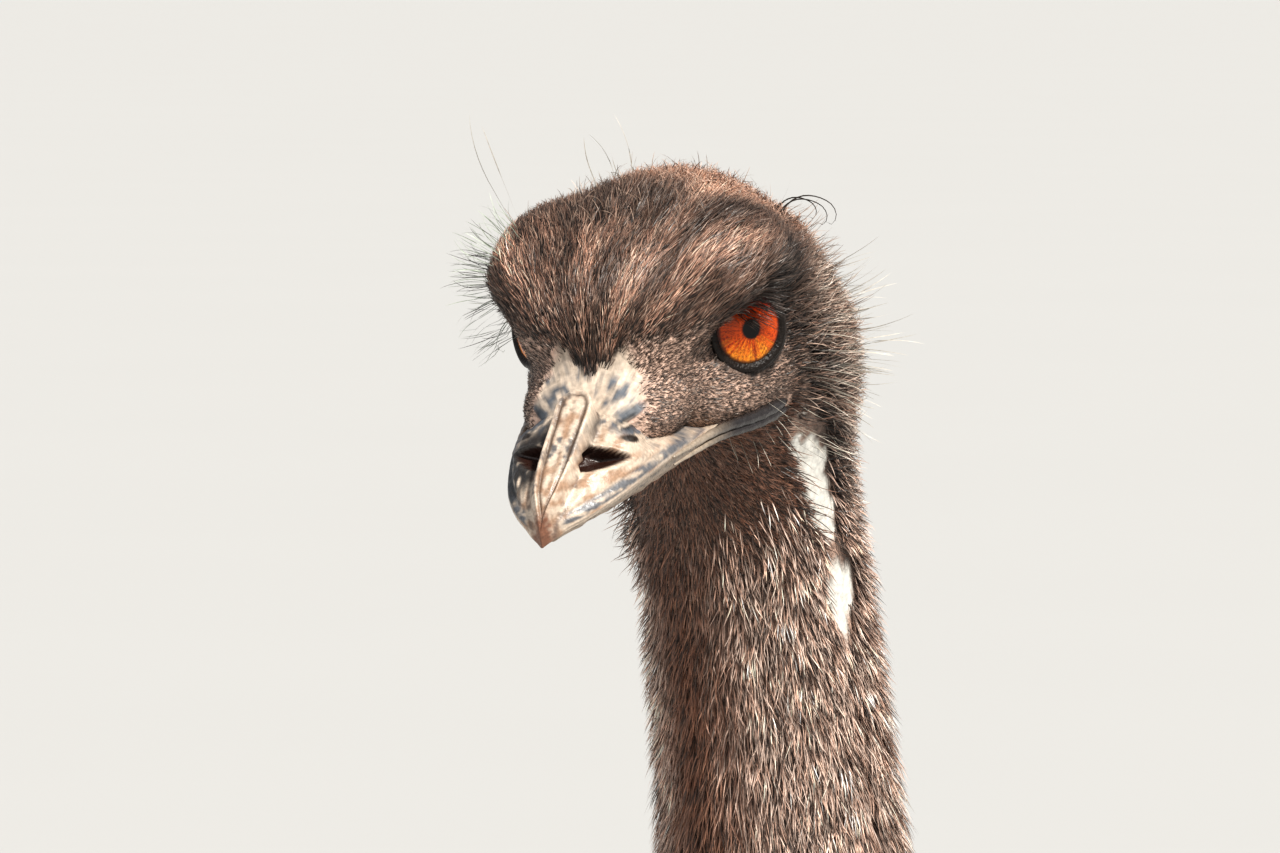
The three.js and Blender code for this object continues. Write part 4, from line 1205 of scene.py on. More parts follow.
def make_single_hairs(surface):
    """Long bristles and stray hairs, some from each place of HAIRS."""
    finish = feather_finish("stray_hairs", 0.35, 900)
    paths, outs, widths, tips, uvs = [], [], [], [], []
    for index, (full, place, round_it, way, length, lift, curl, width, colour) in enumerate(HAIRS):
        count = max(density(full), 1)

        def near(p, place=place, round_it=round_it):
            q = to_head(p)
            away = np.linalg.norm(q - place, axis=-1) - 4
            return smooth(round_it, 0.5 * round_it, away) * clear_of_eyes(q) + 1e-12

        roots, uv = scatter(surface, near, count, 300 + index)
        rng = np.random.default_rng(320 + index)
        lie = np.tile(np.array(way) @ HEAD_AXES.T, (count, 1)) + rng.normal(0, 0.3, (count, 3)) * (full > 2)
        long = length * rng.uniform(0.7, 1.15, count) if full > 2 else np.full(count, float(length))
        high = lift * rng.uniform(0.5, 1, count)
        seed = 340 + index
        path, out = drape(coat_form, roots, lie, long, 7, high, rise=1.6, curl=curl, hold=0.02, seed=seed)
        paths.append(path)
        outs.append(out)
        widths.append(np.full(count, width))
        tips.append(shades(count, [(1, colour)], 360 + index, 0.2))
        uvs.append(uv)
    path, outs, uv, tip = (np.vstack(parts) for parts in (paths, outs, uvs, tips))
    width = np.concatenate(widths)
    coat_piece("stray_hairs", path, outs, width, uv, tip * 0.5, tip, finish, seed=380)


# A long hair that curls over at the crown's side: its line from its root, across the view and up.
CURLED = [
    *((0, 0), (-1.5, 3.5), (0.5, 7), (4.5, 8.6), (9, 7.6)),
    *((12.3, 5.2), (13.2, 2.4), (12, 0.4), (10.4, 1.2)),
]


def make_curled_hairs(surface):
    """Three long dark hairs from the crown's side: each a smooth line through CURLED, resized."""
    finish = feather_finish("curled_hairs", 0.35, 900)
    count = 3

    def near(p):
        return smooth(3, 1, np.linalg.norm(to_head(p) - (25.3, 42, 13.6), axis=-1) - 4) + 1e-12

    roots, uv = scatter(surface, near, count, 390)
    rng = np.random.default_rng(391)
    across, up = np.array([0.94, 0.34, 0.0]), np.array([0.0, 0.25, 1.0])
    line = Line([on_head(a * across + b * up) - on_head((0, 0, 0)) for a, b in CURLED])
    size = rng.uniform(0.75, 1.05, count)[:, None, None]
    path = roots[:, None] + line.at(np.linspace(0, 1, 19))[None] * size
    outs = np.broadcast_to(unit(np.array([0.34, -0.94, 0.1]) @ HEAD_AXES.T), path.shape).copy()
    tip = shades(count, [(1, (0.03, 0.022, 0.018))], 392, 0.2)
    width = np.full(count, 0.42)
    coat_piece("curled_hairs", path, outs, width, uv, tip, tip, finish, seed=393)


def waves(q):
    """A slow random turn of the coat, so that it falls in locks."""
    return np.stack([ripple(q, 9, seed) for seed in (41, 42, 43)], -1)


def bald(q):
    """1 where nothing grows: on the bill's soft base and within the mouth's rim."""
    front = smooth(-44, -47, q[..., 1])
    return np.clip(in_patch(q) + front + gape_zone(q), 0, 1)


MOUTH = [(22.5, -45, -17.5), (27, -22, -19.5), (31.5, -3, -23), (34.5, 13, -25)]


def gape_zone(q):
    """1 close to the line of the mouth's fleshy rim."""
    q = on_left(q)
    near = np.min([np.linalg.norm(q - at, axis=-1) for at in Line(MOUTH).at(np.linspace(0, 1, 16))], axis=0)
    return smooth(3.6, 2.6, near)


def neck_lie(p):
    """Down the neck, from head to torso."""
    share = np.interp(p[..., 2], neck_line.points[:, 2], neck_line.shares)
    return -neck_line.along(share)


def over_bare(p):
    """1 on the bare blotches and for a feather's length above them, so that none hangs over them."""
    down = neck_lie(p)
    return np.max([neck_bare(p + step * down) for step in (0.0, 3.0, 6.0, 9.0)], axis=0)


def neck_middle(p):
    """The point of the neck's line at each point's height."""
    return neck_line.at(np.interp(p[..., 2], neck_line.points[:, 2], neck_line.shares))


NECK_SIDE = [(4, (0.56, 0.37, 0.285)), (5, (0.80, 0.61, 0.51)), (3, (0.05, 0.032, 0.025))]
# Throat tips: mostly painted shade over the throat's own warmer tone.
NECK_THROAT_SHADE = [(4, (0.27, 0.12, 0.07)), (2, (0.38, 0.19, 0.12)), (2, (0.05, 0.028, 0.02))]
NECK_NAPE = [(4, (0.03, 0.022, 0.018)), (1, (0.2, 0.15, 0.12))]
NECK_LOW = [(3, (0.12, 0.085, 0.065)), (2, (0.24, 0.18, 0.14)), (2, (0.03, 0.022, 0.018))]


def neck_tones(p, count, seed):
    """Neck feather tips: beige with dark flecks on the sides, dark on the nape, darker warm brown on the
    throat.

    The throat's darker brown, on its front towards the bird's right and away from the key light, is mostly
    painted shade over the throat's own warmer tone.
    """
    out = unit(p - neck_middle(p))
    # The throat's front towards the bird's right, turned from the key light: mostly painted shade.
    throat = smooth(0.7, 1.0, -out[:, 1]) * smooth(0.5, -0.2, out[:, 0])
    nape = smooth(0.35, 0.85, out[:, 1])
    side = shades(count, NECK_SIDE, seed) * column(np.exp(0.7 * ripple(p, 12, 47)))
    paint = mix(side, shades(count, NECK_THROAT_SHADE, seed + 1), column(throat))
    paint = mix(paint, shades(count, NECK_NAPE, seed + 2), column(nape))
    return mix(paint, shades(count, NECK_LOW, seed + 5), column(smooth(1520, 1120, p[:, 2])))


def make_neck_coat(surface):
    """The neck's coats: hair-like feathers above that grow longer and looser towards the torso."""
    finish = feather_finish("neck_feathers", 0.5, 600)
    parts = [
        ("neck_upper_feathers", 1425, 1640, 38000, 3, (6.5, 15), 0.34, (0.6, 2.8)),
        ("neck_middle_feathers", 1200, 1440, 17000, 4, (20, 42), 0.8, (2, 6.5)),
    ]
    for index, (name, low, high, full, steps, lengths, width, lifts) in enumerate(parts):
        count = density(full)
        seed = 100 + 20 * index

        def weight(p, low=low, high=high):
            inside = smooth(low - 12, low + 12, p[..., 2]) * smooth(high + 12, high - 12, p[..., 2])
            return inside * (1 - over_bare(p)) * (1 - neck_zone(p)) + 1e-9

        roots, uv = scatter(surface, weight, count, seed)
        rng = np.random.default_rng(seed + 1)
        length = mix(lengths[1], lengths[0], smooth(low, high - 60, roots[:, 2]))
        length = length * rng.uniform(0.7, 1.2, count)
        lie = neck_lie(roots) + rng.normal(0, 0.14, (count, 3)) + 0.15 * waves(roots / 2)
        nape = smooth(-0.1, 0.7, unit(roots - neck_middle(roots))[:, 1])
        lift = rng.uniform(*lifts, count) * (1 + 1.3 * nape)
        length = length * (1 + 0.4 * nape)
        path, outs = drape(coat_form, roots, lie, length, steps, lift, curl=0.1, hold=0.25, seed=seed + 2)
        root = shades(count, [(3, (0.06, 0.038, 0.03)), (2, (0.17, 0.105, 0.08))], seed + 3)
        tip = neck_tones(roots, count, seed + 4)
        wide = np.full(count, width)
        coat_piece(name, path, outs, wide, uv, root, tip, finish, (0.1, 0.7), seed=seed + 5)


# Body plumage. A plume is a bunch of long loose strands from one root.


# The plumes' way over the body: the angle from the top of the back, then outwards, back and up.
PLUME_WAYS = np.array(
    [
        (0, 0.75, 0.6, 0),
        (10, 0.62, 0.62, -0.1),
        (40, 0.4, 0.6, -0.6),
        (72, 0.1, 0.45, -0.9),
        (104, -0.2, 0.36, -0.9),
        (140, -0.3, 0.55, -0.7),
        (180, 0, 0.9, -0.4),
    ]
)
TRUNK = 180  # how many of the skin line's points run through the trunk
PLUME_ROOTS = [(1, (0.1, 0.08, 0.068)), (1, (0.055, 0.043, 0.036))]
PLUME_TIPS = [
    (4, (0.105, 0.078, 0.06)),
    (3, (0.06, 0.044, 0.035)),
    (2, (0.2, 0.155, 0.12)),
    (1, (0.02, 0.016, 0.014)),
]


def from_back(p):
    """The angle round the trunk in degrees, from 0 on the back to 180 under the belly."""
    at = SKIN_LINE.at(np.interp(-p[:, 1], -SKIN_LINE.points[:TRUNK, 1], SKIN_LINE.shares[:TRUNK]))
    return np.degrees(np.arctan2(np.abs(p[:, 0] - at[:, 0]), p[:, 2] - at[:, 2]))


def body_lie(p):
    """The plumes' direction: parted along the back, then down the flanks and back under the belly."""
    angle = from_back(p)
    lie = np.stack([np.interp(angle, PLUME_WAYS[:, 0], way) for way in PLUME_WAYS.T[1:]], -1)
    lie[:, 0] *= np.sign(p[:, 0] + 1e-6)
    return unit(lie)


def plume_piece(
    name,
    surface,
    weight,
    full,
    seed,
    lie,
    length,
    lift,
    finish,
    droop,
    slot="plumage",
    strands=6,
    width=3.4,
    spread=7.5,
    steps=5,
    hold=0.2,
    form=None,
):
    """Plumes over part of a surface, as one mesh of strands."""
    count = density(full)
    roots, uv = scatter(surface, weight, count, seed)
    rng = np.random.default_rng(seed + 1)
    ways = lie(roots) + rng.normal(0, 0.13, (count, 3))
    long = length(roots) * rng.uniform(0.75, 1.15, count)
    high = lift(roots) * rng.uniform(0.25, 1.0, count)
    sag = droop(roots)
    form = form or plume_form
    path, outs = drape(form, roots, ways, long, steps, high, droop=sag, curl=0.07, hold=hold, seed=seed + 2)
    path, outs = bunch(path, outs, strands, spread, 0.6, 4.0, seed)
    many = count * strands
    repeat = np.repeat(np.arange(count), strands)
    root = shades(many, PLUME_ROOTS, seed + 6)
    on_neck = column(smooth(1060, 1230, roots[repeat][:, 2]))
    tip = mix(body_tones(roots[repeat], many, seed + 7), neck_tones(roots[repeat], many, seed + 9), on_neck)
    wide = rng.uniform(0.6, 1.2, many) * width
    return coat_piece(name, path, outs, wide, uv[repeat], root, tip, finish, roll=0.35, seed=seed + 8)


def body_tones(p, count, seed):
    """Body plume tips: grey brown, darker on the back and in patches, with paler shafts among them."""
    back = smooth(TORSO_Z + 40, TORSO_Z + 150, p[:, 2])
    return shades(count, PLUME_TIPS, seed) * column(1 - 0.3 * back + 0.18 * ripple(p, 120, 77))


def plume_form(p):
    """The flesh and coat depth that body plumes are held off."""
    return flesh_form(p) + BODY_COAT_DEPTH


def wing_line(side):
    """The wing's arm: a line against the flank, 9 mm off the body."""
    places = np.array([(0, -170, 962), (0, -110, 930), (0, -30, 905), (0, 45, 892)], float)
    reach = leaves(body_form, places, np.tile([side, 0.0, 0.0], (4, 1)), 400)
    return Line(places + column(side * (reach + 9)) * LEFT)


def even(value):
    """The same value at every point."""
    return lambda p: np.full(len(p), value)


# Body plumes by the angle from the back: degrees, then their length and how far they droop at each step.
PLUME_KNOTS = np.array([(0, 205, 0.04), (40, 205, 0.1), (72, 190, 0.16), (104, 165, 0.2), (180, 120, 0.1)])


def plume_span(p):
    """Body plume lengths: long on back and flanks, short under the belly and on the breast."""
    span = np.interp(from_back(p), PLUME_KNOTS[:, 0], PLUME_KNOTS[:, 1])
    return span * mix(0.6, 1.0, smooth(-300, -130, p[:, 1]))


def plume_sag(p):
    """How far body plumes droop, most on the flanks' lower half."""
    return np.interp(from_back(p), PLUME_KNOTS[:, 0], PLUME_KNOTS[:, 2])


def make_torso_plumes(surface, finish):
    """Plumes over breast, back, flanks and belly, as one piece a side."""
    for side, label in SIDE_NAMES:

        def weight(p, side=side):
            inside = smooth(1075, 1045, p[..., 2]) * smooth(335, 300, p[..., 1])
            return inside * np.where(p[..., 0] * side > 0, 1.0, 0.0)

        name, seed = f"body_plumes_{label}", 200 + side
        plume_piece(name, surface, weight, 2500, seed, body_lie, plume_span, even(13.0), finish, plume_sag)


def make_low_neck_plumes(surface, finish):
    """Finer plumes where the neck widens into the breast."""

    def weight(p):
        return smooth(1030, 1060, p[..., 2]) * smooth(1245, 1215, p[..., 2])

    def span(p):
        return mix(95, 48, smooth(1040, 1220, p[:, 2]))

    fine = {"slot": "neck_plumage", "strands": 5, "width": 1.8, "spread": 4.5}
    name = "neck_lower_plumes"
    plume_piece(name, surface, weight, 3400, 230, neck_lie, span, even(9.0), finish, even(0.04), **fine)


def make_tail_plumes(surface, finish):
    """Plumes over the rump that hang loose."""

    def weight(p):
        return smooth(290, 325, p[..., 1]) * smooth(800, 860, p[..., 2])

    span, lift, sag = even(200.0), even(10.0), even(0.24)
    plume_piece("tail_plumes", surface, weight, 650, 240, tail_lie, span, lift, finish, sag, hold=0.03)


def make_thigh_plumes(leg, finish):
    """Plumes down a thigh, shorter and closer to the skin towards the hock."""
    line = leg.thigh_line

    def weight(p):
        return smooth(880, 830, p[..., 2])

    def lie(p):
        return line.along(np.interp(-p[:, 2], -line.points[:, 2], line.shares))

    def span(p):
        return mix(58, 108, smooth(500, 720, p[:, 2]))

    def lift(p):
        return mix(4.5, 9.0, smooth(500, 700, p[:, 2]))

    name, tube, seed = f"thigh_plumes_{leg.name}", thigh_surface(leg), 250 + leg.side
    fine = {"strands": 5, "width": 2.2, "spread": 5.0, "steps": 4}
    plume_piece(name, tube, weight, 1700, seed, lie, span, lift, finish, even(0.03), **fine)


def make_wing_plumes(side, label, finish):
    """Plumes that hang from a wing's arm over the flank."""
    line = wing_line(side)
    arm_form = limb(line, lambda t: mix(20, 9, t), 6)

    def reach(share, angle):
        return mix(19, 8.5, share) * (1 - 0.35 * np.abs(np.sin(angle)))

    def form(p):
        return np.minimum(flesh_form(p) + 1, arm_form(p))

    def weight(p):
        return np.where(p[..., 0] * side > np.abs(line.at(0.5)[0]) * 0.7, 1.0, 0.05)

    def lie(p):
        return np.tile(unit(np.array([side * 0.2, 0.45, -0.85])), (len(p), 1))

    name, arm, seed = f"wing_plumes_{label}", skin_tube(line, 20, 20, reach), 270 + side
    span, lift, sag = even(172.0), even(9.0), even(0.12)
    plume_piece(name, arm, weight, 560, seed, lie, span, lift, finish, sag, form=form)


def make_body_coat(surface):
    """The body's coats: plumes over breast, back, flanks and belly, on wings, thighs and tail."""
    finish = feather_finish("body_feathers", 0.55, 260)
    make_torso_plumes(surface, finish)
    make_low_neck_plumes(surface, finish)
    make_tail_plumes(surface, finish)
    for leg in legs:
        make_thigh_plumes(leg, finish)
    for side, label in SIDE_NAMES:
        make_wing_plumes(side, label, finish)


def tail_lie(p):
    """Out from the tail's middle and down."""
    out = unit(p - np.array([0, 330, TORSO_Z - 26]))
    return unit(out * np.array([0.5, 0.4, 0.25]) + np.array([0, 0.35, -0.75]))


# Eyes and lids.

PUPIL_RADIUS = 2.65
DOME_HEIGHT = 1.7
LID_EDGE = math.radians(46)
LID_OUTER = math.radians(66)
LID_CUT = 8.6  # how far the upper lid's edge stands above the pupil's middle
LID_EDGE_COLOUR = np.array([0.012, 0.008, 0.006])
LID_COLOUR = np.array([0.075, 0.046, 0.034])


def eye_axes(side):
    """The eye's own axes in the head's frame: where it looks, across it to the bird's back, and up."""
    look = eye_look(side)
    up = unit(HEAD_AXES.T @ UP - (HEAD_AXES.T @ UP @ look) * look)
    return look, np.cross(up, look) * side, up


def lid_opening(angle):
    """The angle from the look at which the lids end: round, and cut by the upper lid at its height."""
    cut = LID_CUT / (EYEBALL_RADIUS * np.maximum(np.sin(angle), 0.05))
    top = np.arcsin(np.clip(cut, 0, 0.999))
    return -np.log(np.exp(-28 * top) + np.exp(-28 * LID_EDGE)) / 28


def make_eyes():
    """Eyeballs: a sphere whose front, out to the iris's rim, is a dome, coloured by place.

    The dome lies ahead of the rim by DOME_HEIGHT times 1 less the squared share of the iris's radius."""
    finish = Finish("eye", 0.09, Specular_IOR_Level=0.3)
    finish.colour(finish.noise(2600, 3), 0.85, 1.15)
    finish.raise_by(finish.noise(300, 1), 0.00002, 0.2)
    lean = np.concatenate([np.linspace(0.012, 0.84, 64), np.linspace(0.88, math.pi - 0.05, 24)])
    theta, phi = grid(lean, 220)
    iris = bpy.context.scene.emu_sizes.iris_radius
    rim = math.sqrt(EYEBALL_RADIUS**2 - iris**2)
    reach = EYEBALL_RADIUS * np.sin(theta)
    dome = rim + DOME_HEIGHT * (1 - (reach / iris) ** 2)
    ahead = np.where((theta < math.pi / 2) & (reach < iris), dome, EYEBALL_RADIUS * np.cos(theta))
    for side, label in SIDE_NAMES:
        look, across, up = eye_axes(side)
        ring = column(np.cos(phi)) * across + column(np.sin(phi)) * up
        centre = eye_centre(side)
        surface = Surface(
            on_head(centre + column(ahead) * look + column(reach) * ring),
            on_head(centre + look * (rim + DOME_HEIGHT)),
            on_head(centre - look * EYEBALL_RADIUS),
        )
        paint = np.vstack([iris_colours(theta, phi).reshape(-1, 3), [0.002] * 3, [0.05, 0.02, 0.015]])
        points, faces, places = surface.points(), surface.faces(), surface.places()
        name, nodes = f"eyeball_{label}", [f"eye_{label}"]
        new_piece(name, points, faces, finish.material, nodes, paint, places)


def iris_colours(theta, phi):
    """Iris colours: amber below, red orange, dark red above, with rays from a black pupil to a dark rim."""
    red, amber, deep = chosen("iris_red", "iris_amber", "iris_deep")
    iris = bpy.context.scene.emu_sizes.iris_radius
    radius = EYEBALL_RADIUS * np.sin(np.minimum(theta, math.pi / 2))
    height = radius * np.sin(phi) / iris
    around = np.stack([np.cos(phi), np.sin(phi), 0 * phi], -1)
    rays = ripple(around + column(radius) * np.array([0, 0, 0.02]), 0.16, 51)
    fine = ripple(around + column(radius) * np.array([0, 0, 0.06]), 0.07, 52)
    glow = smooth(-0.22, -0.95, height + 0.25 * rays)
    paint = mix(red, amber, column(glow * (0.72 + 0.28 * fine)))
    paint = mix(paint, deep, column(smooth(0.05, 0.85, height + 0.2 * rays)))
    paint = paint * column(1 + 0.32 * fine + 0.3 * rays)
    paint = mix(paint, deep * 0.6, column(smooth(0.45, 0.9, rays + fine) * smooth(0.6, -0.2, height) * 0.75))
    paint = paint * column(mix(1.0, 0.12, smooth(iris - 1.1, iris - 0.1, radius)))
    paint = paint * column(mix(0.35, 1.0, smooth(PUPIL_RADIUS, PUPIL_RADIUS + 0.7, radius + 0.2 * fine)))
    inside = smooth(PUPIL_RADIUS + 0.15, PUPIL_RADIUS - 0.15, radius + 0.1 * rays)
    return np.clip(mix(paint, np.full(3, 0.002), column(inside)), 0.001, 1)


# A lid's profile: the share from the opening's edge to under the skin, and the height over the eyeball.
LID_SHAPE = [
    *((-0.10, -0.9), (-0.03, -0.2), (0.0, 0.75), (0.05, 1.35), (0.16, 1.75)),
    *((0.32, 1.55), (0.5, 1.9), (0.68, 1.6), (0.86, 0.6), (1.0, -1.4)),
]


def make_lids():
    """Lids: their profile swept round the look, with a round bead at the edge and a fold outside it."""
    finish = Finish("lid_skin", 0.4, Specular_IOR_Level=0.3)
    finish.colour(finish.noise(900, 5), 0.7, 1.3)
    finish.raise_by(finish.noise(1200, 6), 0.0004, 0.8)
    finish.raise_by(finish.cells(1500), 0.0002, 0.6)
    finish.rough(finish.noise(700), 0.3, 0.55)
    shape = profile(LID_SHAPE)
    points, groups, colours, start = [], [], [], 0
    for side in SIDES:
        look, across, up = eye_axes(side)
        phi, share = np.meshgrid(turns(120), np.linspace(-0.1, 1, 34), indexing="ij")
        low = smooth(0.3, -0.6, np.sin(phi))
        lean = mix(lid_opening(phi), LID_OUTER + 0.07 * low, share)
        creases = 0.14 * np.sin(phi * 46 + 6 * share) * smooth(0.3, 0.6, share)
        radius = EYEBALL_RADIUS + shape(share) * mix(0.8, 1.12, low) + creases
        ring = column(np.cos(phi)) * across + column(np.sin(phi)) * up
        at = eye_centre(side) + column(radius) * (column(np.cos(lean)) * look + column(np.sin(lean)) * ring)
        index = np.arange(phi.size).reshape(phi.shape)
        ahead = np.roll(index, -1, axis=0)
        quads = np.stack([index[:, :-1], index[:, 1:], ahead[:, 1:], ahead[:, :-1]], -1).reshape(-1, 4)
        corner = at.reshape(-1, 3)[quads]
        faces_to = np.cross(corner[:, 2] - corner[:, 0], corner[:, 3] - corner[:, 1])
        facing = dot(faces_to, corner.mean(1) - eye_centre(side)).sum()
        groups.append((quads if facing > 0 else quads[:, ::-1]) + start)
        start += phi.size
        points.append(on_head(at).reshape(-1, 3))
        tone = mix(LID_EDGE_COLOUR, LID_COLOUR, column(smooth(0.25, 0.9, share)))
        colours.append(tone.reshape(-1, 3))
    new_piece("eyelids", np.vstack(points), groups, finish.material, (), np.vstack(colours))


# Bill.

BILL_TIP = -88.8
BILL_ROOT = -16.0
RIDGE_BACK = -53.6  # the middle of the round knob that ends the ridge
bill_half = profile(
    [[-89, 0], [-88, 1.3], [-85, 5.0], [-78, 10.9], [-66, 16.4], [-45, 22], [-30, 24.5], [-20, 25], [-12, 25]]
)
bill_top = profile(
    [
        *([-89, -21.6], [-86, -15.5], [-80, -10], [-70, -5], [-60, 0.2]),
        *([-50, 6.0], [-38, 9], [-26, 11], [-20, 11], [-12, 11]),
    ]
)
mouth_level = profile(
    [[-89, -24.4], [-86.5, -22.6], [-82, -20.6], [-68, -18.5], [-45, -17.5], [-20, -19], [-12, -20]]
)
ridge_half = profile(
    [[-89, 1.0], [-84, 3.0], [-80, 4.2], [-72, 5.1], [-62, 5.3], [-56, 5.5], [RIDGE_BACK, 5.5], [-12, 5.5]]
)
# The nostril's corners, along the bill and up: upper front, lower front and back.
NOSTRIL = np.array([(-61.2, -6.5), (-70.2, -9.9), (-58.4, -10.6)])


def ridge_edge(x, y):
    """The distance to the outline of the ridge: a strip that ends in a half circle, less than 0 within."""
    past = np.maximum(y - RIDGE_BACK, 0)
    return np.hypot(x, past) - ridge_half(np.minimum(y, RIDGE_BACK))


def nostril_share(q):
    """0 in the middle of the nostril, 1 on its outline: a triangle with round corners, seen from the side.

    The three sides' distances are blended by the logarithm of the sum of their exponentials."""
    ahead, below, above = NOSTRIL[1] - NOSTRIL[0], NOSTRIL[2] - NOSTRIL[1], NOSTRIL[0] - NOSTRIL[2]
    total = 0
    for corner, side in zip(NOSTRIL, (ahead, below, above)):
        away = np.array([side[1], -side[0]]) / np.hypot(*side)
        distance = (q[..., 1] - corner[0]) * away[0] + (q[..., 2] - corner[1]) * away[1]
        total = total + np.exp(2.5 * distance)
    return np.maximum(1 + (np.log(total) / 2.5 - 0.35) / 1.6, 0)


def slit_shade_share(q):
    """1 in the short slit behind the nostril, on both sides of the head, which is painted near black as the
    shade in its opening.
    """
    across, y, z = np.abs(q[..., 0]) - 15.1, q[..., 1] + 53.7, q[..., 2] + 7.4
    along = 0.36 * across + 0.93 * y
    return np.exp(-((along / 2.7) ** 2) - ((z + 0.28 * along) / 0.95) ** 2)


def bill_surface():
    """The upper bill: a flat floor, and over it a dome whose height is half width and top by place along.

    The height is the top's times the root of 1 less the 2.4th power of the share of the half width. On it
    stand the ridge with its raised rim and grooves, and the edge's round lip."""
    y, angle = grid(np.concatenate([np.linspace(BILL_TIP, -80, 40), np.linspace(-79.6, BILL_ROOT, 190)]), 220)
    half = np.maximum(bill_half(y), 0.3)
    x = half * np.sin(angle)
    floor = mouth_level(y) + 0.2
    height = np.maximum(bill_top(y) - floor, 0.5)
    share = np.clip(np.abs(x) / half, 0, 1)
    upper = np.cos(angle) >= 0
    dome = np.sqrt(np.maximum(1 - share**2.4, 0))
    z = np.where(upper, floor + 0.70 * height * dome, floor)
    q = np.stack([x, y, z], -1)
    edge = ridge_edge(x, y)
    shape = 0.30 * height * smooth(0.9, -0.6, edge)
    rim = 0.8 * hump(edge, -1.0, 0.55)
    groove = -0.75 * hump(edge, -2.1, 0.5) * smooth(RIDGE_BACK + 2, RIDGE_BACK - 1, y)
    rib = -0.35 * hump(x, 0, 0.7) * smooth(-84, -76, y)
    moat = -0.45 * hump(edge, 1.6, 0.9)
    fold = 0.22 * ripple(q * np.array([1.0, 0.22, 1.0]), 2.6, 61) * smooth(-84, -78, y)
    z = z + np.where(upper, (shape + rim + groove + rib + moat + fold) * smooth(1.0, 0.92, share), 0)
    lip = smooth(0.2, 1.2, z - floor) * smooth(3.6, 2.2, z - floor)
    crease = hump(z - floor, 3.9, 0.6)
    x = x + np.where(upper, np.sign(x) * (0.55 * lip - 0.4 * crease) * smooth(-88, -82, y), 0)
    cut = mix(4.0, 1.4, smooth(-50, -27, y))
    above = smooth(cut, cut + 2.6, z - floor) * smooth(-55, -45, y)
    x = x * np.where(upper, 1 - 0.22 * above, 1)
    cap = mix(40.0, 0.3, np.sqrt(smooth(-44, -19, y)))
    z = np.where(upper, floor + cap * np.tanh((z - floor) / cap), z)
    q = np.stack([x, y, z], -1)
    hole = nostril_share(q)
    inward = np.stack([-np.sign(x) * 0.85, 0.1 + 0 * x, -0.3 + 0 * x], -1)
    sink = 7.5 * np.clip((1.0 - hole) / 0.7, 0, 1) ** 0.75 - 0.4 * hump(hole, 1.35, 0.25)
    fossa = 0.9 * np.exp(-(((y + 58) / 13) ** 2) - ((z + 2.5) / 3.2) ** 2) * smooth(1.2, 3.0, edge)
    q = q + inward * column(np.where(upper, sink + fossa, 0))
    surface = Surface(on_head(q), on_head((0, BILL_TIP - 0.2, -24)), on_head((0, BILL_ROOT, -12)))
    return surface, q, np.where(upper, hole, 9)


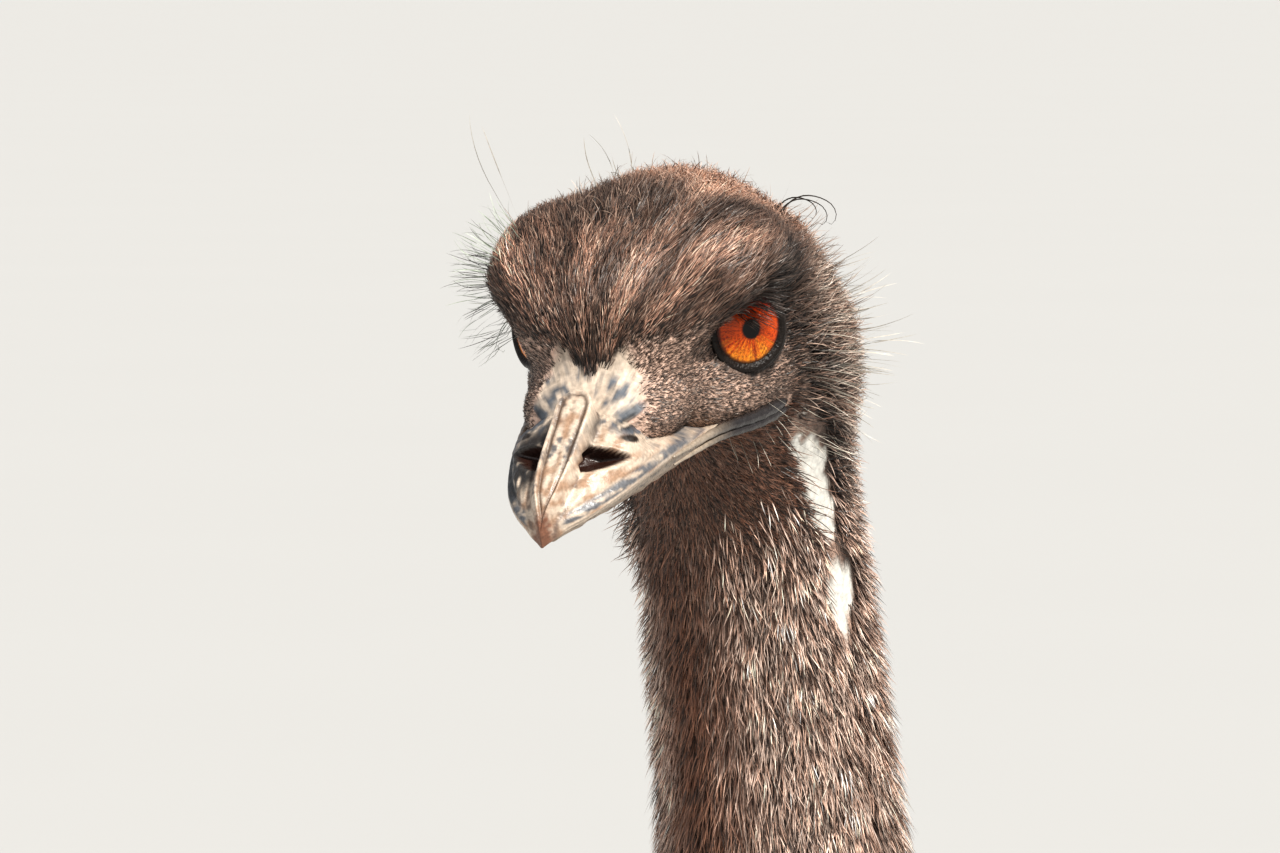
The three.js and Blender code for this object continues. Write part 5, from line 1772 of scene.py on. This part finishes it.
def bill_colours(q):
    """Bill colours by place: cream and tan, clouded with blue grey and black, red brown at the nail.

    Painted shade darkens the ridge's grooves and the slit behind the nostril, and, with a dark patch of its
    own, part of the far side; a painted highlight lightens the ridge's rim.
    """
    cream, slate, nail, tan = chosen("bill_cream", "bill_slate", "bill_nail", "bill_tan")
    x, y, z = q[..., 0], q[..., 1], q[..., 2]
    edge = ridge_edge(x, y)
    over_floor = z - mouth_level(y)
    long = ripple(q * np.array([1.0, 0.3, 1.0]), 4.0, 71)
    spots = ripple(q, 2.4, 72)
    paint = mix(cream, tan, column(smooth(-0.5, 0.9, long + 0.3 * spots)))
    on_ridge = smooth(0.6, -0.4, edge)
    cloud = 0.75 * ripple(q * np.array([0.8, 0.22, 0.6]), 5.5, 73)
    blue = smooth(0.3, 0.9, cloud + 0.35 * spots + 0.35 * hump(y, -70, 7))
    paint = mix(paint, slate, column(0.85 * blue * on_ridge))
    # Painted shade: the ridge's grooves are darkened where shade falls in them.
    grooves = hump(edge, -2.1, 0.55) * smooth(RIDGE_BACK + 2, RIDGE_BACK - 1, y)
    paint = mix(paint, tan * 0.32, column(0.8 * grooves))
    paint = mix(paint, slate * 0.6, column(0.55 * hump(edge, 1.2, 0.7) * smooth(-0.4, 0.6, spots + long)))
    stripe = smooth(1.5, 2.2, over_floor) * smooth(4.6, 3.6, over_floor)
    wear = ripple(q * np.array([0.5, 0.3, 1.2]), 3.2, 75) + 0.4 * spots
    worn = mix(slate * 1.3, cream * 0.8, column(smooth(-0.1, 1.1, wear)))
    paint = mix(paint, worn, column(0.92 * stripe * smooth(-88, -84, y) * smooth(1.5, 3, edge)))
    border = smooth(1.7, 1.0, over_floor)
    paint = mix(paint, cream * 0.9, column(border * smooth(-86, -82, y)))
    # On the bill's far side, near black clouds: partly painted shade on the side turned from the light,
    # partly a dark patch of the bill's own.
    right = smooth(-4, -7, x) * smooth(-80, -72, y) * smooth(-46, -56, y)
    far_side_shade_and_patch = 0.95 * right * smooth(-0.9, 0.1, long + 0.5) * smooth(1.0, 2.2, edge)
    paint = mix(paint, slate * 0.12, column(far_side_shade_and_patch))
    tip = smooth(-84.6, -87.4, y + 0.7 * spots + 0.3 * np.abs(x))
    paint = mix(paint, nail, column(tip))
    # Painted highlight: the ridge's raised rim near the front is lightened where light falls on it.
    rim = hump(edge, -0.7, 0.6) * smooth(-74, -62, y)
    paint = mix(paint, cream * 1.1, column(0.7 * rim))
    # Painted shade: the inner groove near the front is darkened further.
    inner = hump(edge, -2.2, 0.5) * smooth(-76, -66, y)
    paint = mix(paint, tan * 0.2, column(0.8 * inner))
    root = smooth(-58, -51, y) * smooth(4.2, 5.4, over_floor)
    paint = mix(paint, patch_colours(q), column(root * smooth(0.2, 1.4, edge)))
    dark_ring = hump(edge, 0.6, 0.5) * smooth(-66, -56, y)
    paint = mix(paint, slate * 0.3, column(0.85 * dark_ring))
    # Painted shade: the slit behind the nostril is painted near black.
    paint = mix(paint, tan * 0.05, column(smooth(0.3, 0.6, slit_shade_share(q))))
    return paint * column(0.92 + 0.12 * ripple(q, 1.3, 74))


def bill_finish():
    """Horn with fine wear and grain."""
    finish = Finish("bill_horn", 0.34, Specular_IOR_Level=0.55)
    finish.colour(finish.noise(1100, 6), 0.82, 1.18)
    finish.raise_by(finish.noise(650, 7), 0.0004, 0.55)
    finish.raise_by(finish.noise(2400, 3), 0.0001, 0.6)
    finish.rough(finish.noise(800, 5), 0.24, 0.5)
    return finish.material


# Painted shade: near black with a little red, the shade inside the nostril's hole over its reddish inside.
NOSTRIL_SHADE = np.array([0.03, 0.011, 0.007])


def make_upper_bill(finish):
    """The upper bill, coloured by place."""
    surface, q, hole = bill_surface()
    # The nostril's hollow is painted with it: painted shade in the hole.
    paint = mix(bill_colours(q), NOSTRIL_SHADE, column(smooth(1.08, 0.92, hole)))
    ends = bill_colours(np.array([[0, BILL_TIP, -23.5], [0, BILL_ROOT, -10.0]]))
    paint = np.vstack([paint.reshape(-1, 3), ends])
    new_piece("upper_bill", surface.points(), surface.faces(), finish, ["bill_upper"], paint)


def make_lower_bill(finish):
    """The lower bill: flat above, a shallow keel below."""
    y, angle = grid(np.linspace(-83.6, BILL_ROOT, 130), 120)
    half = np.maximum(bill_half(y - 1) - 1.0, 0.8)
    top = mouth_level(y) - 0.2
    deep = mix(3.0, 9.5, smooth(-88, -40, y))
    lift = 0.35 * ripple(np.stack([np.sin(angle) * half, y * 0.3, deep], -1), 3, 63)
    z = np.where(np.cos(angle) > 0, top, top + (deep + lift) * np.cos(angle))
    q = np.stack([half * np.sin(angle), y, z], -1)
    lower = Surface(on_head(q), on_head((0, -84.0, -21.5)), on_head((0, BILL_ROOT, -23)))
    speck = column(smooth(0.1, 0.9, ripple(q, 1.8, 65)))
    cream, slate = chosen("bill_cream", "bill_slate")
    paint = mix(cream * 0.75, slate * 0.7, 0.75 * speck).reshape(-1, 3)
    paint = np.vstack([paint, paint[:1], paint[-1:]])
    new_piece("lower_bill", lower.points(), lower.faces(), finish, ["bill_lower"], paint)


GAPE_FRONT = np.array([0.34, 0.28, 0.22])
GAPE_BACK = np.array([0.032, 0.028, 0.028])
LIP_SIZE = profile([[0, 0.2], [0.25, 0.6], [0.5, 0.85], [0.8, 1.15], [0.93, 1.0], [1, 0.35]])


def make_gape():
    """The mouth's fleshy rim: soft tubes above and below the slit, fat near its corner."""
    finish = Finish("gape_skin", 0.3, Specular_IOR_Level=0.6)
    finish.colour(finish.noise(900, 5), 0.7, 1.3)
    finish.raise_by(finish.noise(700, 5), 0.0004, 0.6)
    finish.rough(finish.noise(600), 0.14, 0.32)
    tubes, paints = [], []
    for side in SIDES:
        for rise, size in ((1.2, 1.6), (-1.0, 1.3)):
            line = Line([on_head((side * (x + 0.2), y, z + rise)) for x, y, z in MOUTH])

            def reach(share, angle, size=size):
                return size * LIP_SIZE(share) * (1 + 0.05 * np.sin(share * 60))

            tube = skin_tube(line, 70, 20, reach)
            tubes.append(tube)
            share = np.linspace(0, 1, 70)[:, None, None]
            tone = mix(GAPE_FRONT, GAPE_BACK, smooth(0.2, 0.55, share))
            paint = np.broadcast_to(tone, (70, 20, 3)).reshape(-1, 3)
            paints.append(np.vstack([paint, paint[:1], paint[-1:]]))
    points, groups = joined(tubes)
    new_piece("gape_rim", points, groups, finish.material, (), np.vstack(paints))


# Legs.

SHANK_PLATES = 30
shank_radius = profile(
    [[0, 21], [0.1, 23.5], [0.19, 27], [0.27, 23], [0.4, 17], [0.7, 15.5], [0.9, 17.5], [1, 20]]
)
pad_radius = profile([[0, 19.5], [0.35, 22], [0.7, 26], [0.93, 25], [1, 21.5]])
# Toes: name, length, splay in degrees, half width, claw's length and plates.
TOES = [
    ("inner", 82, -27, 12.5, 27, 8),
    ("middle", 118, 0, 15.5, 31, 13),
    ("outer", 86, 31, 12.5, 26, 8),
]


def shank_surface(leg):
    """The shank: its radius by the share along it, deeper than wide, with broad plates down the front."""
    ground = np.array([leg.foot[0], leg.foot[1], 34.0])
    line = Line(
        [
            leg.thigh_line.at(0.9),
            leg.thigh_line.at(1.0),
            leg.hock + np.array([0, -4, 12]),
            mix(leg.hock, ground, 0.3),
            mix(leg.hock, ground, 0.66),
            np.array([leg.foot[0], leg.foot[1], 22.0]),
        ]
    )

    def reach(share, angle):
        front = smooth(0.25, 0.7, -np.cos(angle))
        row = (share * SHANK_PLATES) % 1
        plate = smooth(0, 0.16, row) * smooth(1, 0.84, row) * front * smooth(0.16, 0.26, share)
        round_part = shank_radius(share) * (1 + 0.14 * np.abs(np.cos(angle)))
        cells = np.stack([angle * 6, share * 70, 0 * share], -1)
        pebbles = 0.35 * ripple(cells, 2.2, 81) * (1 - front)
        return round_part + 1.25 * plate - 0.5 + pebbles

    return skin_tube(line, 420, 72, reach)


def toe_surface(leg, length, splay, width, plates):
    """A toe on the floor: it narrows and sinks along its length, with waists below and plates on top."""
    along, across = leg.toe_axes(splay)
    share, angle = grid(np.linspace(0, 1, 90), 56)
    end = np.sqrt(np.maximum(1 - smooth(0.86, 1.02, share) ** 2, 0.02))
    half = width * mix(1.18, 0.64, share) * (1 - 0.1 * np.cos(share * np.pi * 6 + 0.6) ** 2) * end
    row = (share * plates) % 1
    plate = 0.9 * smooth(0, 0.18, row) * smooth(1, 0.82, row) * smooth(0.1, 0.5, np.sin(angle))
    top = mix(31, 12.5, np.sqrt(share)) * end + plate
    rise = np.sin(angle)
    z = np.where(rise > 0, top * mix(0.42, 1, np.maximum(rise, 0) ** 0.8), top * 0.42 * (1 + rise) ** 0.7)
    aside = half * np.cos(angle) * np.where(rise < -0.3, 0.86, 1)
    at = leg.foot + column(mix(2, length, share)) * along + column(aside) * across
    at[..., 2] = np.maximum(z, 0.2)
    return Surface(at, leg.foot + along * 2 + UP * 8, leg.foot + along * (length + 0.4) + UP * 5)


def pad_surface(leg):
    """The foot's pad: round rings from the shank's end down to the floor."""
    share, angle = grid(np.linspace(0, 1, 40), 72)
    radius = pad_radius(share)
    x = leg.foot[0] + radius * np.sin(angle)
    y = leg.foot[1] - 4 * share + radius * 1.1 * np.cos(angle)
    at = np.stack([x, y, mix(46, 0.2, share)], -1)
    return Surface(at, leg.foot + UP * 46, leg.foot + np.array([0, -4, 0.2]))


def claw_surface(leg, length, splay, width, claw):
    """A claw: a cone that bends down to the floor, flat below."""
    along, across = leg.toe_axes(splay)
    share, angle = grid(np.linspace(0, 1, 40), 28)
    size = mix(1, 0.08, share**1.3)
    at = leg.foot + column(length - 8 + (claw + 8) * share) * along
    at = at + column(width * 0.44 * size * np.cos(angle)) * across
    rise = np.sin(angle)
    at[..., 2] = np.maximum(6.8 - 3.9 * share**2 + 5.4 * size * np.where(rise > 0, rise, 0.7 * rise), 0.8)
    start = leg.foot + along * (length - 8) + UP * 6.8
    return Surface(at, start, leg.foot + along * (length + claw) + UP * 2.6)


def leg_finish():
    finish = Finish("leg_skin", 0.5, Specular_IOR_Level=0.5)
    brown, grey = (0.105, 0.082, 0.066), (0.21, 0.185, 0.16)
    base = finish.blend_colours(finish.noise(60, 6), brown, grey, 0.35, 0.68)
    finish.colour(finish.noise(500, 5), 0.65, 1.35, base)
    finish.raise_by(finish.cells(330, "DISTANCE_TO_EDGE"), 0.0009, 0.8)
    finish.raise_by(finish.noise(900, 5), 0.0003, 0.5)
    finish.rough(finish.noise(300), 0.4, 0.62)
    return finish.material


def make_legs():
    """Shanks with plates, feet fused from pad and toes, and claws."""
    finish = leg_finish()
    horn = Finish("claw_horn", 0.35, Specular_IOR_Level=0.5)
    base = horn.blend_colours(horn.noise(120, 5), (0.018, 0.015, 0.013), (0.075, 0.06, 0.05), 0.4, 0.75)
    horn.colour(horn.noise(600, 4), 0.7, 1.3, base)
    horn.raise_by(horn.noise(900, 5, (1, 0.2, 1)), 0.0002, 0.6)
    horn.rough(horn.noise(400), 0.28, 0.5)
    for leg in legs:
        shank = shank_surface(leg)
        name, nodes = f"shank_skin_{leg.name}", [f"shank_{leg.name}"]
        new_piece(name, shank.points(), shank.faces(), finish, nodes)
        toes = [toe_surface(leg, length, splay, width, plates) for _, length, splay, width, _, plates in TOES]
        points, groups = joined([pad_surface(leg), *toes])
        nodes = [f"foot_{leg.name}", *(f"toe_{name}_{leg.name}" for name, *_ in TOES)]
        foot = new_piece(f"foot_skin_{leg.name}", points, groups, finish, nodes)
        remesh = foot.modifiers.new("fuse", "REMESH")
        remesh.mode, remesh.voxel_size, remesh.use_smooth_shade = "VOXEL", 1.5 * MM, True
        settle(foot)
        claws = [claw_surface(leg, length, splay, width, claw) for _, length, splay, width, claw, _ in TOES]
        points, groups = joined(claws)
        nodes = [f"claw_{name}_{leg.name}" for name, *_ in TOES]
        new_piece(f"claws_{leg.name}", points, groups, horn.material, nodes)


# Stage.

CAMERA_ASIDE = math.radians(28)
CAMERA_UP = math.radians(3)
CAMERA_AWAY = 2.4
AIM_BELOW_EYES = 0.0247
LENS = 250.0
FLOOR_HALF = 450.0


def make_camera():
    """The camera: on the bird's left front, a little above the eyes, with a long lens."""
    forward = -np.array(
        [
            math.sin(CAMERA_ASIDE) * math.cos(CAMERA_UP),
            -math.cos(CAMERA_ASIDE) * math.cos(CAMERA_UP),
            math.sin(CAMERA_UP),
        ]
    )
    right = unit(np.cross(forward, UP))
    above = np.cross(right, forward)
    aim = (on_head((0, 0, 0)) + SHIFT) * MM - above * AIM_BELOW_EYES
    data = bpy.data.cameras.new("camera")
    data.lens, data.sensor_width = LENS, 36.0
    data.clip_start, data.clip_end = 0.1, 4 * FLOOR_HALF
    camera = bpy.data.objects.new("camera", data)
    camera.location = aim - forward * CAMERA_AWAY
    camera.rotation_mode = "QUATERNION"
    camera.rotation_quaternion = Vector(forward).to_track_quat("-Z", "Y")
    bpy.context.scene.collection.objects.link(camera)
    bpy.context.scene.camera = camera


def make_lights():
    """A broad sun high on the camera's right, a weaker one on its left, and a pale even sky."""
    for name, azimuth, elevation, strength, spread, colour in (
        ("key", 66, 50, 4.6, 6, (1.0, 0.96, 0.90)),
        ("fill", -25, 30, 0.35, 60, (0.92, 0.96, 1.0)),
    ):
        data = bpy.data.lights.new(name, "SUN")
        data.energy, data.angle, data.color = strength, math.radians(spread), colour
        lamp = bpy.data.objects.new(name, data)
        a, e = math.radians(azimuth), math.radians(elevation)
        back = Vector((math.sin(a) * math.cos(e), -math.cos(a) * math.cos(e), math.sin(e)))
        lamp.rotation_mode = "QUATERNION"
        lamp.rotation_quaternion = back.to_track_quat("Z", "Y")
        lamp.location = back * 5
        bpy.context.scene.collection.objects.link(lamp)
    world = bpy.data.worlds.new("sky")
    world.use_nodes = True
    background = world.node_tree.nodes["Background"]
    background.inputs["Color"].default_value = (0.86, 0.88, 0.92, 1)
    background.inputs["Strength"].default_value = 0.34
    bpy.context.scene.world = world
    bpy.context.scene.view_settings.view_transform = "Standard"
    bpy.context.scene.view_settings.look = "Medium High Contrast"


def make_floor():
    """A wide flat floor."""
    mesh = bpy.data.meshes.new("floor")
    r = FLOOR_HALF
    mesh.from_pydata([(-r, -r, 0), (r, -r, 0), (r, r, 0), (-r, r, 0)], [], [(0, 1, 2, 3)])
    floor = bpy.data.objects.new("floor", mesh)
    bpy.context.scene.collection.objects.link(floor)
    finish = Finish("floor_paint", 0.85)
    base = finish.blend_colours(finish.noise(0.4, 2), (0.50, 0.50, 0.49), (0.502, 0.502, 0.492))
    finish.link(base, finish.shader.inputs["Base Color"])
    mesh.materials.append(finish.material)


# The add-on's settings, operators and panel.


class EmuSizes(bpy.types.PropertyGroup):
    """Sizes that a user may change."""

    iris_radius: FloatProperty(
        name="Iris radius", description="Radius of the iris in millimetres", default=9.5, min=5, max=12
    )
    feather_share: FloatProperty(
        name="Feathers", description="Share of the feathers that are made", default=1, min=0.05, max=1
    )


def tint(label, description, colour):
    """A setting for a colour."""
    return FloatVectorProperty(
        name=label, description=description, subtype="COLOR", size=3, min=0, max=1, default=colour
    )


class EmuColours(bpy.types.PropertyGroup):
    """Colours that a user may change."""

    hidden_skin: tint("Hidden skin", "Skin under the coat", (0.035, 0.024, 0.019))
    face_skin: tint("Face skin", "Skin of lores and cheeks", (0.68, 0.47, 0.37))
    bare_neck: tint("Bare neck", "Bare skin on the neck's sides", (0.80, 0.78, 0.72))
    bill_cream: tint("Bill cream", "Pale parts of the bill", (0.66, 0.54, 0.43))
    bill_tan: tint("Bill tan", "Tan parts of the bill", (0.42, 0.27, 0.18))
    bill_slate: tint("Bill slate", "Blue grey clouds on the bill", (0.075, 0.085, 0.10))
    bill_nail: tint("Bill nail", "The bill's tip", (0.22, 0.10, 0.06))
    iris_red: tint("Iris red", "Middle of the iris", (0.62, 0.075, 0.004))
    iris_amber: tint("Iris amber", "Lower part of the iris", (1.0, 0.38, 0.03))
    iris_deep: tint("Iris deep red", "Upper part of the iris", (0.19, 0.015, 0.004))


made = {}


class EMU_OT_skin(bpy.types.Operator):
    """Makes the skin of head, neck and body"""

    bl_idname = "emu.skin"
    bl_label = "Skin"

    def execute(self, context):
        made["skin"] = make_skin()
        return {"FINISHED"}


class EMU_OT_head(bpy.types.Operator):
    """Makes the head's coats"""

    bl_idname = "emu.head_coat"
    bl_label = "Head coat"

    def execute(self, context):
        make_head_coat(made["skin"])
        make_single_hairs(made["skin"])
        make_curled_hairs(made["skin"])
        return {"FINISHED"}


class EMU_OT_neck(bpy.types.Operator):
    """Makes the neck's coats"""

    bl_idname = "emu.neck_coat"
    bl_label = "Neck coat"

    def execute(self, context):
        make_neck_coat(made["skin"])
        return {"FINISHED"}


class EMU_OT_body(bpy.types.Operator):
    """Makes the plumes of body, wings, thighs and tail"""

    bl_idname = "emu.body_coat"
    bl_label = "Body coat"

    def execute(self, context):
        make_body_coat(made["skin"])
        return {"FINISHED"}


class EMU_OT_eyes(bpy.types.Operator):
    """Makes the eyeballs and their lids"""

    bl_idname = "emu.eyes"
    bl_label = "Eyes"

    def execute(self, context):
        make_eyes()
        make_lids()
        return {"FINISHED"}


class EMU_OT_bill(bpy.types.Operator):
    """Makes the bill and the mouth's rim"""

    bl_idname = "emu.bill"
    bl_label = "Bill"

    def execute(self, context):
        finish = bill_finish()
        make_upper_bill(finish)
        make_lower_bill(finish)
        make_gape()
        return {"FINISHED"}


class EMU_OT_legs(bpy.types.Operator):
    """Makes shanks, feet and claws"""

    bl_idname = "emu.legs"
    bl_label = "Legs"

    def execute(self, context):
        make_legs()
        return {"FINISHED"}


class EMU_OT_stage(bpy.types.Operator):
    """Makes the floor, the lights and the camera"""

    bl_idname = "emu.stage"
    bl_label = "Stage"

    def execute(self, context):
        make_floor()
        make_lights()
        make_camera()
        return {"FINISHED"}


OPERATORS = (
    EMU_OT_skin,
    EMU_OT_head,
    EMU_OT_neck,
    EMU_OT_body,
    EMU_OT_eyes,
    EMU_OT_bill,
    EMU_OT_legs,
    EMU_OT_stage,
)


class EMU_PT_panel(bpy.types.Panel):
    """Lists the bird's pieces in the sidebar"""

    bl_label = "Emu"
    bl_idname = "EMU_PT_panel"
    bl_space_type = "VIEW_3D"
    bl_region_type = "UI"
    bl_category = "Emu"

    def draw(self, context):
        for operator in OPERATORS:
            self.layout.operator(operator.bl_idname)
        for group in (context.scene.emu_sizes, context.scene.emu_colours):
            for name in group.bl_rna.properties.keys():
                if name not in ("rna_type", "name"):
                    self.layout.prop(group, name)


CLASSES = (EmuSizes, EmuColours, *OPERATORS, EMU_PT_panel)


def register():
    for one in CLASSES:
        bpy.utils.register_class(one)
    bpy.types.Scene.emu_sizes = PointerProperty(type=EmuSizes)
    bpy.types.Scene.emu_colours = PointerProperty(type=EmuColours)


def unregister():
    del bpy.types.Scene.emu_colours
    del bpy.types.Scene.emu_sizes
    for one in reversed(CLASSES):
        bpy.utils.unregister_class(one)


def main():
    register()
    for operator in OPERATORS:
        group, name = operator.bl_idname.split(".")
        getattr(getattr(bpy.ops, group), name)()


if __name__ == "__main__":
    main()
